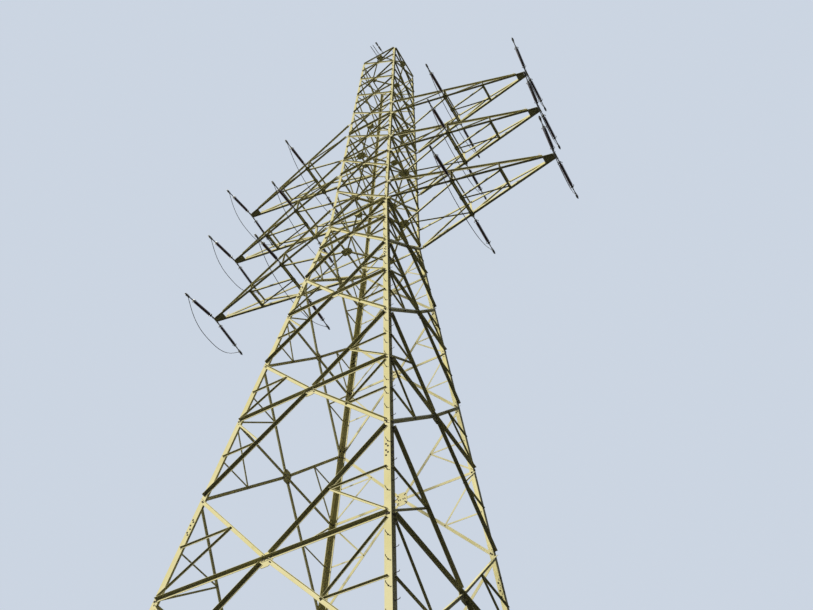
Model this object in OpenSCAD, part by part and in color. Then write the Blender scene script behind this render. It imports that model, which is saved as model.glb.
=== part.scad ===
// Lattice transmission pylon with three pairs of cross-arms, as a 1:2 scale model.
// Every size is the model's own, so the real size is twice the value. Millimetres, Z up.
// The origin is on the ground at the middle of the four legs. The cross-arms point along X
// and the line of conductors runs along Y.

/* [Body] */
// Width across the outer corners of the legs at ground level
base_w = 4960; // [4400:10:5600]
// Width across the outer corners of the legs at the waist, where the taper changes
waist_w = 1350; // [1200:10:1500]
// Width across the outer corners of the legs at the top
top_w = 1016; // [900:4:1120]
// Height of the legs' tops above the ground
pylon_h = 25640; // [24600:20:26600]
// Height of the waist above the ground
waist_z = 16920; // [16200:20:17600]
// Share of the waist's height taken by the bottom panel of bracing
bottom_panel_share = 0.3416; // [0.32:0.0004:0.36]
// Share taken by the second panel
second_panel_share = 0.2128; // [0.2:0.0004:0.224]
// Share taken by the third panel
third_panel_share = 0.1748; // [0.166:0.0004:0.184]
// Share taken by the fourth panel, which leaves the rest to the fifth
fourth_panel_share = 0.152; // [0.144:0.0004:0.16]
// Share of a body panel's height between its top and its strut
strut_share = 0.466; // [0.44:0.002:0.5]

/* [Cage] */
// Share of the cage's height taken by each of the two lowest bays
low_bay_share = 0.167; // [0.158:0.001:0.176]
// Share taken by each of the two middle bays, which leaves the rest to the three highest
mid_bay_share = 0.147; // [0.139:0.001:0.155]

/* [Leg sections] */
// Flange width of the leg angle below the waist
low_leg_flange = 92; // [84:1:100]
// Thickness of the leg angle below the waist
low_leg_t = 9; // [7:0.5:11]
// Flange width of the leg angle above the waist
high_leg_flange = 62; // [56:1:70]
// Thickness of the leg angle above the waist
high_leg_t = 6; // [5:0.5:8]

/* [Bracing sections] */
// Flange width of the diagonals and struts below the waist
body_bar_flange = 48; // [42:1:54]
// Thickness of the diagonals and struts below the waist
body_bar_t = 4; // [3:0.5:5]
// Flange width of the short stiffening members
stiffener_flange = 26; // [22:1:30]
// Thickness of the short stiffening members
stiffener_t = 3; // [2.5:0.25:3.5]
// Flange width of the cage bracing
cage_bar_flange = 32; // [28:1:36]
// Thickness of the cage bracing
cage_bar_t = 3.5; // [3:0.25:4]
// Flange width of the heavy struts at the arm levels
arm_strut_flange = 44; // [38:1:48]
// Thickness of the gusset plates
gusset_t = 6; // [5:0.5:8]

/* [Cross-arms] */
// Distance from the pylon's axis to the tip of the top arms
top_arm_reach = 3785; // [3600:5:3900]
// Distance from the pylon's axis to the tip of the middle arms
mid_arm_reach = 3880; // [3700:5:4000]
// Distance from the pylon's axis to the tip of the bottom arms
low_arm_reach = 3975; // [3800:5:4100]
// Share of an arm's reach at which its main crossbeam stands
crossbeam_share = 0.5; // [0.47:0.005:0.53]
// Share of an arm's reach at which its light crossbeam stands
light_beam_share = 0.735; // [0.71:0.005:0.76]
// Fall of the bottom chords from the legs to the tip
tip_drop = 185; // [120:5:240]
// Half width across the plate at the tip, where the outer strings start
tip_half_w = 60; // [55:1:75]
// Length of the plate at the tip, on which the top chords end
tip_plate_l = 235; // [200:5:270]
// Flange width of the bottom chords
bottom_chord_flange = 48; // [42:1:54]
// Flange width of the top chords
top_chord_flange = 40; // [36:1:46]
// Thickness of the chords
chord_t = 4.5; // [4:0.25:5.5]
// Flange width of the two angles of the main crossbeam
main_beam_flange = 32; // [28:1:38]
// Flange width of the light crossbeam
light_beam_flange = 48; // [42:1:52]
// Flange width of the bracing within an arm
arm_bar_flange = 30; // [26:1:34]
// Thickness of the bracing within an arm
arm_bar_t = 3.5; // [3:0.25:4]

/* [Insulators] */
// Length of the porcelain rod of an insulator
rod_l = 530; // [480:5:580]
// Diameter of the rod's core
core_d = 38; // [32:1:44]
// Diameter of the sheds
shed_d = 70; // [60:1:78]
// Number of sheds on a rod
shed_count = 12; // [8:1:16]
// Length of the link between the arm and the insulator
link_l = 90; // [80:5:110]
// Length of the link between the insulator and the conductor clamp
far_link_l = 110; // [90:5:130]
// Length of the conductor clamp
clamp_l = 130; // [110:5:150]
// Angle at which the front strings hang below the level
front_droop = 13; // [10:0.5:15]
// Angle at which the back strings hang below the level
back_droop = 6; // [3:0.5:8]
// Angle by which the front strings turn towards +x
line_turn = 2.6; // [0:0.2:4]
// Further angle by which the front strings at the tips spread outwards
tip_spread = 2.8; // [0:0.2:4]
// Diameter of the jumper cable
jumper_d = 14; // [12:1:16]
// Depth to which the jumpers at the tips hang below their clamps
jumper_sag = 520; // [450:10:600]

/* [Footings] */
// Width of the concrete cap under each leg
cap_w = 420; // [380:10:460]
// Height of the concrete cap
cap_h = 160; // [130:5:200]
// Width of the bevel around the top of the cap
cap_bevel = 25; // [15:1:35]
// Width of the base plate of a leg
foot_plate_w = 240; // [220:5:280]
// Thickness of the base plate
foot_plate_t = 12; // [10:1:16]

/* [Hidden] */
ARMS = ["top", "middle", "bottom"];

steel = [0.86, 0.83, 0.62];
porcelain = [0.30, 0.16, 0.10];
galvanised = [0.55, 0.56, 0.55];
cable = [0.42, 0.43, 0.42];
concrete = [0.66, 0.64, 0.60];

// Running clearance between bolted pieces that are separate solids
seat = 0.5;
// Depth by which bars of one lattice sink into the plate or bar that holds them
weld = 1.2;

cage_h = pylon_h - waist_z;
body_slope = (base_w - waist_w) / 2 / waist_z;
cage_slope = (waist_w - top_w) / 2 / cage_h;
body_tilt = atan(body_slope);
cage_tilt = atan(cage_slope);

// Levels of the panel boundaries of the body, from the ground to the waist
body_levels = [
    0,
    waist_z * bottom_panel_share,
    waist_z * (bottom_panel_share + second_panel_share),
    waist_z * (bottom_panel_share + second_panel_share + third_panel_share),
    waist_z * (bottom_panel_share + second_panel_share + third_panel_share + fourth_panel_share),
    waist_z
];
high_bay_share = (1 - 2 * low_bay_share - 2 * mid_bay_share) / 3;
// Levels of the bay boundaries of the cage, from the waist to the top
cage_levels = [
    waist_z,
    waist_z + cage_h * low_bay_share,
    waist_z + cage_h * 2 * low_bay_share,
    waist_z + cage_h * (2 * low_bay_share + mid_bay_share),
    waist_z + cage_h * (2 * low_bay_share + 2 * mid_bay_share),
    pylon_h - cage_h * 2 * high_bay_share,
    pylon_h - cage_h * high_bay_share,
    pylon_h
];
// Levels of the bottom and top chords of the arms, from the top arm down
chord_levels = [
    [cage_levels[3], (cage_levels[3] + cage_levels[4]) / 2],
    [(cage_levels[1] + cage_levels[2]) / 2, cage_levels[2]],
    [cage_levels[0], (cage_levels[0] + cage_levels[1]) / 2]
];
arm_reaches = [top_arm_reach, mid_arm_reach, low_arm_reach];
// Distance of an arm's chords from the legs' outer faces, bridged by the root plates
root_gap = 58;
// Distance from the legs' outer faces in to the upright faces of an arm's chords
root_inset = 12;
// Half width across the upright faces of the bottom chords at the tip
tip_face_y = tip_half_w + chord_t - bottom_chord_flange;
// Overhang of the main crossbeam past those faces
beam_overhang = 67;
// Size of the gusset between an arm's plan bracing and the body
body_plate = [100, 150];
// Sizes of the gussets at the foot and head of a main post and at the foot of a light post
post_foot = [80, 112];
post_head = [76, 62];
light_foot = [54, 66];

// Half width across the legs' outer corners at height z
function half_at(z) = z < waist_z ? base_w / 2 - body_slope * z : waist_w / 2 - cage_slope * (z - waist_z);
function mix(a, b, f) = a + (b - a) * f;
function unit(v) = v / norm(v);

// Sets its children on the plane of one side of the body: x runs along the side, y runs up
// the slope and z points outwards. The plane is the outer face of the legs' flanges.
module on_side(k, half_w, z0, tilt) {
    rotate([0, 0, 90 * k])
        translate([0, -half_w, z0])
            rotate([90 - tilt, 0, 0])
                children();
}

// Sets its children on the plane through o whose x axis points along u and whose z axis
// points towards w
module on_plane(o, u, w) {
    x = unit(u);
    z = unit(w - (w * x) * x);
    y = cross(z, x);
    multmatrix([
        [x.x, y.x, z.x, o.x],
        [x.y, y.y, z.y, o.y],
        [x.z, y.z, z.z, o.z],
        [0, 0, 0, 1]
    ])
        children();
}

// An angle section in the plane z = 0 from p to q. One flange lies in the plane and the
// other stands on its upper edge, or on its lower edge where edge is -1.
module angle_bar(p, q, flange, t, lift = 0, edge = 1, cut_p = 0, cut_q = 0) {
    a = p.x <= q.x ? p : q;
    b = p.x <= q.x ? q : p;
    cut_a = p.x <= q.x ? cut_p : cut_q;
    cut_b = p.x <= q.x ? cut_q : cut_p;
    len = norm(b - a) - cut_a - cut_b;
    translate([a.x, a.y, lift])
        rotate([0, 0, atan2(b.y - a.y, b.x - a.x)])
            translate([cut_a, 0, 0])
                rotate([90, 0, 90])
                    linear_extrude(len)
                        scale([edge, 1])
                            polygon([
                                [-flange / 2, 0],
                                [flange / 2, 0],
                                [flange / 2, flange],
                                [flange / 2 - t, flange],
                                [flange / 2 - t, t],
                                [-flange / 2, t]
                            ]);
}

// A plate with cut corners, centred on c in the plane z = 0
module gusset(c, w, h, t, top = weld) {
    k = min(w, h) / 4;
    translate([c.x, c.y, top - t])
        linear_extrude(t)
            polygon([
                [-w / 2 + k, -h / 2],
                [w / 2 - k, -h / 2],
                [w / 2, -h / 2 + k],
                [w / 2, h / 2 - k],
                [w / 2 - k, h / 2],
                [-w / 2 + k, h / 2],
                [-w / 2, h / 2 - k],
                [-w / 2, -h / 2 + k]
            ]);
}

// The angle section of a leg from height z0 to z1, cut level at both ends. The corner of
// the section runs along the outer corner line and its flanges point along both sides.
module leg_angle(z0, z1, flange, t) {
    past = 2 * flange;
    r0 = half_at(z0);
    slope = z1 <= waist_z ? body_slope : cage_slope;
    axis = unit([-slope, -slope, 1]);
    inward = unit([-1, -1, 0] - ([-1, -1, 0] * axis) * axis);
    across = cross(axis, inward);
    intersection() {
        multmatrix([
            [inward.x, across.x, axis.x, r0],
            [inward.y, across.y, axis.y, r0],
            [inward.z, across.z, axis.z, z0],
            [0, 0, 0, 1]
        ])
            translate([0, 0, -past])
                linear_extrude((z1 - z0) / axis.z + 2 * past)
                    rotate([0, 0, -45])
                        polygon([
                            [0, 0],
                            [flange, 0],
                            [flange, t],
                            [t, t],
                            [t, flange],
                            [0, flange]
                        ]);
        translate([0, 0, z0])
            cube([base_w, base_w, z1 - z0]);
    }
}

// A whole leg with its base plate, at the corner of +x and +y
module leg() {
    color(steel) {
        leg_angle(cap_h + foot_plate_t - weld, waist_z, low_leg_flange, low_leg_t);
        leg_angle(waist_z - weld, pylon_h, high_leg_flange, high_leg_t);
        r = half_at(cap_h) - foot_plate_w / 2 + low_leg_t;
        translate([r, r, cap_h + foot_plate_t / 2])
            cube([foot_plate_w, foot_plate_w, foot_plate_t], center = true);
    }
}

// A concrete cap with bevelled top edges, at the corner of +x and +y
module footing() {
    r = half_at(cap_h) - foot_plate_w / 2 + low_leg_t;
    side = [
        [-cap_w / 2, 0],
        [cap_w / 2, 0],
        [cap_w / 2, cap_h - cap_bevel],
        [cap_w / 2 - cap_bevel, cap_h],
        [cap_bevel - cap_w / 2, cap_h],
        [-cap_w / 2, cap_h - cap_bevel]
    ];
    color(concrete)
        translate([r, r, 0])
            intersection() {
                rotate([90, 0, 0])
                    linear_extrude(cap_w, center = true)
                        polygon(side);
                rotate([90, 0, 90])
                    linear_extrude(cap_w, center = true)
                        polygon(side);
            }
}

// Distance of a bar's end from the corner of the leg that it is bolted to
bolt_line = low_leg_flange / 2;
cage_bolt_line = high_leg_flange / 2;
// Distance along the leg between a panel boundary and the bars that end beside it
node_step = 46;
cage_node_step = 34;
// The same beside an arm's bottom chords, beside a thin strut and under the top strut
arm_node_step = 92;
strut_node_step = 52;
top_node_step = 40;

// Point on the bolt line of a leg in the plane of a body side, at height z and side s
function body_point(s, z) = [s * (half_at(z) - bolt_line), z / cos(body_tilt)];
function cage_point(s, z) = [s * (half_at(z) - cage_bolt_line), (z - waist_z) / cos(cage_tilt)];

// Size of the plates at the middles of the body's struts, in full and in plain panels
full_plate = [190, 240];
plain_plate = [150, 180];
// Distance between the middle of a plate and the half diagonals that end on it
mid_gap = 75;
cage_mid_gap = 48;

// One panel of a body side: four half diagonals meet the strut on a gusset plate. In a full
// panel each quarter has two stiffeners, and the quarters, strut and plate are bolted pieces.
module body_panel(z0, z1, full, low_step, high_step) {
    strut_z = z1 - strut_share * (z1 - z0);
    mid = [0, strut_z / cos(body_tilt)];
    plate = full ? full_plate : plain_plate;
    angle_bar(body_point(-1, strut_z), body_point(1, strut_z), body_bar_flange, body_bar_t);
    gusset(mid, plate.x, plate.y, gusset_t, top = full ? -seat : weld);
    for (s = [-1, 1]) {
        for (end = [[z0 + low_step, -1], [z1 - high_step, 1]]) {
            corner = body_point(s, end[0]);
            angle_bar(corner, mid, body_bar_flange, body_bar_t, cut_q = mid_gap);
            if (full) {
                half = mix(corner, mid, 0.5);
                quarter_z = mix(end[0], strut_z, 0.5);
                angle_bar(half, body_point(s, quarter_z), stiffener_flange, stiffener_t, lift = 0.3);
                beside = body_point(s, strut_z + end[1] * 58);
                angle_bar(half, beside, stiffener_flange, stiffener_t, lift = 0.7);
            }
        }
    }
}

module lower_bracing(k) {
    color(steel)
        on_side(k, base_w / 2, 0, body_tilt)
            translate([0, 0, seat]) {
                body_panel(body_levels[0] + cap_h + 90, body_levels[1], true, 0, node_step);
                body_panel(body_levels[1], body_levels[2], true, node_step, node_step);
            }
}

module upper_bracing(k) {
    color(steel)
        on_side(k, base_w / 2, 0, body_tilt)
            translate([0, 0, seat]) {
                body_panel(body_levels[2], body_levels[3], true, node_step, node_step);
                body_panel(body_levels[3], body_levels[4], false, node_step, node_step);
                body_panel(body_levels[4], body_levels[5], false, node_step, arm_node_step);
            }
}

// Size of the plates at the middles of the cage struts
cage_plate_w = 110;
cage_plate_h = 130;
top_plate_h = 60;

// One bay of a cage side
module cage_bay(z0, z1, low_step, high_step, strut_flange) {
    strut_z = (z0 + z1) / 2;
    mid = [0, (strut_z - waist_z) / cos(cage_tilt)];
    angle_bar(cage_point(-1, strut_z), cage_point(1, strut_z), strut_flange, cage_bar_t);
    gusset(mid, cage_plate_w, cage_plate_h, gusset_t);
    for (s = [-1, 1], end = [z0 + low_step, z1 - high_step])
        angle_bar(cage_point(s, end), mid, cage_bar_flange, cage_bar_t, cut_q = cage_mid_gap);
}

// A strut across a cage side at a bay boundary
module level_strut(z, flange) {
    angle_bar(cage_point(-1, z), cage_point(1, z), flange, cage_bar_t);
}

module cage_bracing(k) {
    steps = [
        arm_node_step, cage_node_step, strut_node_step, arm_node_step,
        cage_node_step, cage_node_step, cage_node_step, top_node_step
    ];
    color(steel)
        on_side(k, waist_w / 2, waist_z, cage_tilt)
            translate([0, 0, seat]) {
                for (i = [0 : 6])
                    cage_bay(
                        cage_levels[i], cage_levels[i + 1], steps[i], steps[i + 1],
                        i == 1 ? arm_strut_flange : cage_bar_flange
                    );
                for (z = [cage_levels[0], cage_levels[3]]) {
                    level_strut(z, arm_strut_flange);
                    gusset([0, (z - waist_z) / cos(cage_tilt)], cage_plate_w, cage_plate_h, gusset_t);
                }
                gusset(
                    [0, (pylon_h - top_plate_h / 2 - waist_z) / cos(cage_tilt)],
                    cage_plate_w, top_plate_h, gusset_t
                );
                level_strut(cage_levels[2], cage_bar_flange);
                level_strut(pylon_h - cage_bar_flange / 2, cage_bar_flange);
            }
}

// The level frame at an arm's bottom chords: a diamond between the middles of the sides
module level_frame(z) {
    // The plates end a running clearance inside the gussets of the sides
    reach = half_at(z) - (gusset_t - weld - seat) - seat;
    translate([0, 0, z])
        for (k = [0 : 3])
            rotate([0, 0, 90 * k]) {
                translate([0, 0, -gusset_t])
                    linear_extrude(gusset_t + weld)
                        polygon([
                            [-85, -reach],
                            [85, -reach],
                            [85, 40 - reach],
                            [40, 110 - reach],
                            [-40, 110 - reach],
                            [-85, 40 - reach]
                        ]);
                angle_bar([45, 45 - reach], [reach - 45, -45], cage_bar_flange, cage_bar_t);
            }
}

module level_frames() {
    color(steel) {
        for (levels = chord_levels)
            level_frame(levels[0]);
        level_frame(pylon_h - top_plate_h / 2);
    }
}

// Half width across the upright faces of arm i's bottom chords at the distance x from the axis
function chord_y(i, x) =
    let (rb = half_at(chord_levels[i][0]))
    mix(rb - root_inset, tip_face_y, (x - rb - root_gap) / (arm_reaches[i] - rb - root_gap));

// Slope of the bottom plane of arm i
function arm_slope(i) = tip_drop / (arm_reaches[i] - half_at(chord_levels[i][0]) - root_gap);

// Level of the bottom plane of arm i at the distance x from the axis
function arm_z(i, x) = chord_levels[i][0] - arm_slope(i) * (x - half_at(chord_levels[i][0]) - root_gap);

function crossbeam_x(i) = crossbeam_share * arm_reaches[i];
function light_beam_x(i) = light_beam_share * arm_reaches[i];

// A plate on the face of a leg that reaches out to an arm's chord, on the +x and +y side.
// At the waist it is bent as the leg is.
module root_plate(z) {
    r = half_at(z);
    below = z > waist_z ? cage_tilt : body_tilt;
    lap = cage_bolt_line - 4;
    translate([0, r, z]) {
        rotate([cage_tilt, 0, 0])
            translate([r - lap, seat, -weld])
                cube([lap + root_gap + 47, gusset_t, 32 + weld]);
        rotate([below, 0, 0])
            translate([r - lap, seat, -32])
                cube([lap + root_gap + 47, gusset_t, 32]);
    }
}

// An arm on the +x side. Its bottom chords and crossbeams lie in one plane, which falls
// from the legs to the tip, and each side plane holds a top chord, posts and diagonals.
module arm(i, side) {
    zb = chord_levels[i][0];
    zt = chord_levels[i][1];
    rb = half_at(zb);
    rt = half_at(zt);
    root_b = [rb + root_gap, rb - root_inset, zb];
    root_t = [rt + root_gap, rt - root_inset, zt];
    tip = [arm_reaches[i], tip_face_y, zb - tip_drop];
    // The top chord ends on the upright flange of the bottom chord, above the tip plate
    end_x = tip.x - tip_plate_l;
    rise = bottom_chord_flange + top_chord_flange / 2;
    end_t = [end_x, chord_y(i, end_x), arm_z(i, end_x)] + (root_t - root_b) * rise / (zt - zb);
    color(steel) {
        translate(root_b - [0, root_b.y, 0])
            rotate([0, atan(arm_slope(i)), 0])
                arm_bottom(i);
        for (s = [-1, 1])
            mirror([0, s < 0 ? 1 : 0, 0]) {
                arm_side(i, root_b, root_t, tip, end_t);
                root_plate(zb);
                root_plate(zt);
            }
        upper_beam(mix(root_t, end_t, (crossbeam_x(i) - root_t.x) / (end_t.x - root_t.x)));
        upper_beam(mix(root_t, end_t, (light_beam_x(i) - root_t.x) / (end_t.x - root_t.x)));
        for (start = string_starts(i, side))
            on_string(start, 0)
                hanger_lug();
    }
}

// A crossbeam under the top chords, whose line passes through p. Its upper flange points
// towards the body and its ends sink into the posts.
module upper_beam(p) {
    half_l = p.y - chord_t - 0.4;
    translate([p.x, -half_l, p.z - arm_bar_flange - 6])
        rotate([0, -90, -90])
            linear_extrude(2 * half_l)
                polygon([
                    [0, 0],
                    [0, -arm_bar_t],
                    [arm_bar_flange - arm_bar_t, -arm_bar_t],
                    [arm_bar_flange - arm_bar_t, -arm_bar_flange],
                    [arm_bar_flange, -arm_bar_flange],
                    [arm_bar_flange, 0]
                ]);
}

// The bottom plane of arm i, with x along the arm from the roots of the chords
module arm_bottom(i) {
    x0 = half_at(chord_levels[i][0]) + root_gap;
    x1 = arm_reaches[i];
    along = cos(atan(arm_slope(i)));
    function plan(x, y) = [(x - x0) / along, y];
    main_x = crossbeam_x(i);
    light_x = light_beam_x(i);
    main_y = chord_y(i, main_x);
    light_y = chord_y(i, light_x);
    // The chords' upright flanges stand on their inner edges
    mid_off = bottom_chord_flange / 2 - chord_t;
    chord_end = x1 - 34;
    for (s = [-1, 1])
        angle_bar(
            plan(x0, s * (chord_y(i, x0) + mid_off)),
            plan(chord_end, s * (chord_y(i, chord_end) + mid_off)),
            bottom_chord_flange, chord_t, edge = -s
        );
    // The main crossbeam runs out past both chords to carry the inner strings. Its two angles
    // stand back to back with a gap between them.
    beam_line = main_beam_flange / 2 + 4.5;
    beam_plate_w = main_beam_flange * 2 + 26;
    for (d = [-1, 1])
        angle_bar(
            plan(main_x + d * beam_line, 4 - main_y - beam_overhang),
            plan(main_x + d * beam_line + 0.01, main_y + beam_overhang - 4),
            main_beam_flange, arm_bar_t, lift = -weld, edge = d
        );
    end_plate_h = 120;
    for (s = [-1, 1])
        gusset(
            plan(main_x, s * (main_y + beam_overhang - end_plate_h / 2)),
            beam_plate_w, end_plate_h, gusset_t, top = 0.4
        );
    gusset(plan(main_x, 0), beam_plate_w, 110, gusset_t, top = 0.4);
    // Light crossbeam
    angle_bar(
        plan(light_x, -light_y - 6), plan(light_x + 0.01, light_y + 6),
        light_beam_flange, arm_bar_t, lift = -0.4
    );
    // Plan bracing from the body to the main crossbeam and on to the light one
    body_mid = plan(x0 + 2, 0);
    gusset(body_mid, body_plate.x, body_plate.y, gusset_t);
    for (s = [-1, 1]) {
        angle_bar(
            body_mid + [20, s * 20], plan(main_x - 16, s * (main_y - 34)),
            arm_bar_flange, arm_bar_t, lift = 0.6, edge = s
        );
        angle_bar(
            plan(main_x + 20, s * 20), plan(light_x - 6, s * (light_y - 32)),
            arm_bar_flange, arm_bar_t, lift = 0.6, edge = s
        );
    }
    // Tip plate, whose straight ends carry the tip strings
    x_end = plan(x1, 0).x;
    x_in = x_end - tip_plate_l;
    in_y = chord_y(i, x1 - tip_plate_l) + mid_off;
    translate([0, 0, weld - gusset_t])
        linear_extrude(gusset_t)
            polygon([
                [x_in, -in_y],
                [x_end - 40, -tip_half_w],
                [x_end + 14, -tip_half_w],
                [x_end + 20, 6 - tip_half_w],
                [x_end + 20, tip_half_w - 6],
                [x_end + 14, tip_half_w],
                [x_end - 40, tip_half_w],
                [x_in, in_y]
            ]);
}

// The side plane of an arm on the +y side, with its outer face through the chord lines
module arm_side(i, root_b, root_t, tip, end_t) {
    u = unit(tip - root_b);
    across = root_t - root_b;
    // The outward normal points towards +y
    w = cross(across, u);
    outward = w.y > 0 ? unit(w) : -unit(w);
    y_axis = cross(outward, u);
    function flat(p) = [(p - root_b) * u, (p - root_b) * y_axis];
    function on_top(x) = flat(mix(root_t, end_t, (x - root_t.x) / (end_t.x - root_t.x)));
    function on_bottom(x) = flat(mix(root_b, tip, (x - root_b.x) / (tip.x - root_b.x)));
    up = y_axis.z > 0 ? 1 : -1;
    deep = -chord_t - arm_bar_t + weld;
    drop = [0, up * top_chord_flange / 2];
    main_x = crossbeam_x(i);
    light_x = light_beam_x(i);
    on_plane(root_b, u, outward) {
        // The top chord's upper flange points outwards
        angle_bar(
            flat(root_t) - drop, flat(end_t) - drop,
            top_chord_flange, chord_t, lift = -chord_t, edge = up
        );
        // Gussets on the outer faces of the chords, at the ends of the posts
        for (plate = [
            [on_bottom(main_x) + [0, up * (post_foot.y / 2 + 6)], post_foot],
            [on_top(main_x) - [0, up * (post_head.y / 2 + 7)], post_head],
            [on_bottom(light_x) + [0, up * (light_foot.y / 2 + 7)], light_foot]
        ])
            gusset(plate[0], plate[1].x, plate[1].y, gusset_t, top = gusset_t - weld);
        angle_bar(
            on_bottom(main_x) + [0, up * 12], on_top(main_x) - [0, up * 12],
            arm_strut_flange, arm_bar_t, lift = deep
        );
        angle_bar(
            on_bottom(light_x) + [0, up * 12], on_top(light_x) - [0, up * 12],
            arm_bar_flange, arm_bar_t, lift = deep
        );
        angle_bar(
            on_bottom(root_b.x) + [12, up * 26], on_top(main_x) + [-30, -up * 16],
            arm_bar_flange, arm_bar_t, lift = deep - 0.6
        );
        angle_bar(
            on_bottom(main_x) + [30, up * 22], on_top(light_x) + [-20, -up * 14],
            arm_bar_flange, arm_bar_t, lift = deep - 0.6
        );
    }
}

// The strings of arm i, seen as an arm on the +x side, each as [point on the edge of the plate
// that carries it, way along Y, outward swing, droop]
function string_starts(i, side) =
    let (
        tip_x = arm_reaches[i] + 6,
        tip_z = arm_z(i, tip_x),
        main_x = crossbeam_x(i),
        beam_y = chord_y(i, main_x) + beam_overhang,
        beam_z = arm_z(i, main_x)
    )
    [
        [[tip_x, -tip_half_w, tip_z], -1, side * line_turn + tip_spread, front_droop],
        [[tip_x, tip_half_w, tip_z], 1, 0, back_droop],
        [[main_x, -beam_y, beam_z], -1, side * line_turn, front_droop],
        [[main_x, beam_y, beam_z], 1, 0, back_droop]
    ];

// Sets its children at the start of a string with x along the string. A share of 0 leaves
// out the droop.
module on_string(start, share = 1) {
    translate(start[0])
        rotate([0, 0, start[1] * (90 - start[2])])
            rotate([0, share * start[3], 0])
                children();
}

// Place of the point v of a string's own frame
function string_point(start, v) =
    let (
        x = v.x * cos(start[3]) + v.z * sin(start[3]),
        z = v.z * cos(start[3]) - v.x * sin(start[3]),
        turn = start[1] * (90 - start[2])
    )
    start[0] + [x * cos(turn) - v.y * sin(turn), x * sin(turn) + v.y * cos(turn), z];

// Height of the lugs on the arms and of the cheeks that hold them
lug_h = 34;
cheek_t = 5;
// Length of a lug on its plate and beyond the plate's edge
lug_root = 50;
lug_out = 28;
cap_l = 34;
rod_x = link_l + cap_l + 0.3;
far_x = rod_x + rod_l + 0.3;
clamp_x = far_x + cap_l + far_link_l;
jumper_exit = clamp_x + 30;
// Depth of the jumper's lug below the middle of the clamp
exit_h = 40;

// An upright lug that stands out from a plate of an arm along a string
module hanger_lug() {
    translate([-lug_root, -gusset_t / 2, -lug_h / 2 - 2])
        cube([lug_root + lug_out, gusset_t, lug_h]);
}

// A rod of porcelain with sheds, along x
module insulator() {
    pitch = (rod_l - 50) / shed_count;
    // Outline of one shed, as [radius, share of the pitch]
    shed = [[core_d / 2, 0.2], [shed_d / 2, 0.62], [shed_d / 2, 0.7], [core_d / 2, 0.8]];
    profile = concat(
        [[0, 0], [core_d / 2, 0]],
        [
            for (n = [0 : shed_count - 1], p = shed)
                [p.x, 25 + (n + p.y) * pitch]
        ],
        [[core_d / 2, rod_l], [0, rod_l]]
    );
    color(porcelain)
        rotate([0, 90, 0])
            rotate_extrude($fn = 24)
                polygon(profile);
}

// A cast cap on the end of a rod, along x
module end_cap() {
    rotate([0, 90, 0])
        cylinder(h = cap_l, d = core_d + 12, $fn = 24);
}

// The metal between arm and rod, and between rod and conductor
module string_fittings() {
    color(galvanised) {
        // Shackle with a cheek on each side of the lug, and link
        for (s = [-1, 1])
            translate([6, s * (gusset_t / 2 + 0.4 + cheek_t / 2) - cheek_t / 2, -13])
                cube([42, cheek_t, 24]);
        translate([36, -gusset_t / 2 - 0.4 - cheek_t, -13])
            cube([18, gusset_t + 0.8 + 2 * cheek_t, 24]);
        translate([50, -8, -8])
            cube([link_l - 50 + weld, 16, 16]);
        translate([link_l, 0, 0])
            end_cap();
        translate([far_x, 0, 0]) {
            end_cap();
            translate([cap_l - weld, -8, -8])
                cube([far_link_l + 2 * weld, 16, 16]);
        }
        // Dead-end clamp with the lug for the jumper under it
        translate([clamp_x, -11, -16])
            cube([clamp_l, 22, 32]);
        translate([jumper_exit - 11, -11, -exit_h])
            cube([22, 22, exit_h]);
    }
}

module insulators(i, side) {
    for (start = string_starts(i, side))
        on_string(start)
            translate([rod_x, 0, 0])
                insulator();
}

module fittings(i, side) {
    for (start = string_starts(i, side))
        on_string(start)
            string_fittings();
}

// A tube of eight sides swept along the points of a path
module tube(path, d) {
    n = len(path);
    rings = [
        for (i = [0 : n - 1])
            let (
                t = unit(path[min(i + 1, n - 1)] - path[max(i - 1, 0)]),
                up = unit(cross(t, [1, 0, 0])),
                side = cross(up, t)
            )
            for (a = [0 : 45 : 315])
                path[i] + d / 2 * (cos(a) * side + sin(a) * up)
    ];
    polyhedron(
        points = rings,
        faces = concat(
            [[for (j = [0 : 7]) j]],
            [
                for (i = [0 : n - 2], j = [0 : 7])
                    [8 * i + j, 8 * i + 8 + j, 8 * i + 8 + (j + 1) % 8, 8 * i + (j + 1) % 8]
            ],
            [[for (j = [7 : -1 : 0]) 8 * (n - 1) + j]]
        ),
        convexity = 4
    );
}

// A jumper hangs between the clamps of two strings. It leaves their lugs at right angles
// and its depth follows a flat-bottomed curve.
module jumper(front, back, sag) {
    first = string_point(front, [jumper_exit, 0, -exit_h - 0.3]);
    last = string_point(back, [jumper_exit, 0, -exit_h - 0.3]);
    steps = 24;
    color(cable)
        tube(
            concat(
                [first, string_point(front, [jumper_exit, 0, -exit_h - 24])],
                [
                    for (n = [1 : steps - 1])
                        let (f = 2 * n / steps - 1)
                        mix(first, last, n / steps) - [0, 0, sag * (1 - pow(abs(f), 2.6))]
                ],
                [string_point(back, [jumper_exit, 0, -exit_h - 24]), last]
            ),
            jumper_d
        );
}

module jumpers(i) {
    for (side = [-1, 1])
        mirror([side < 0 ? 1 : 0, 0, 0]) {
            starts = string_starts(i, side);
            jumper(starts[0], starts[1], jumper_sag);
            jumper(starts[2], starts[3], jumper_sag);
        }
}

// The four corners, each turned from the one at +x and +y
module at_corner(turn) {
    rotate([0, 0, turn])
        children();
}

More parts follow.
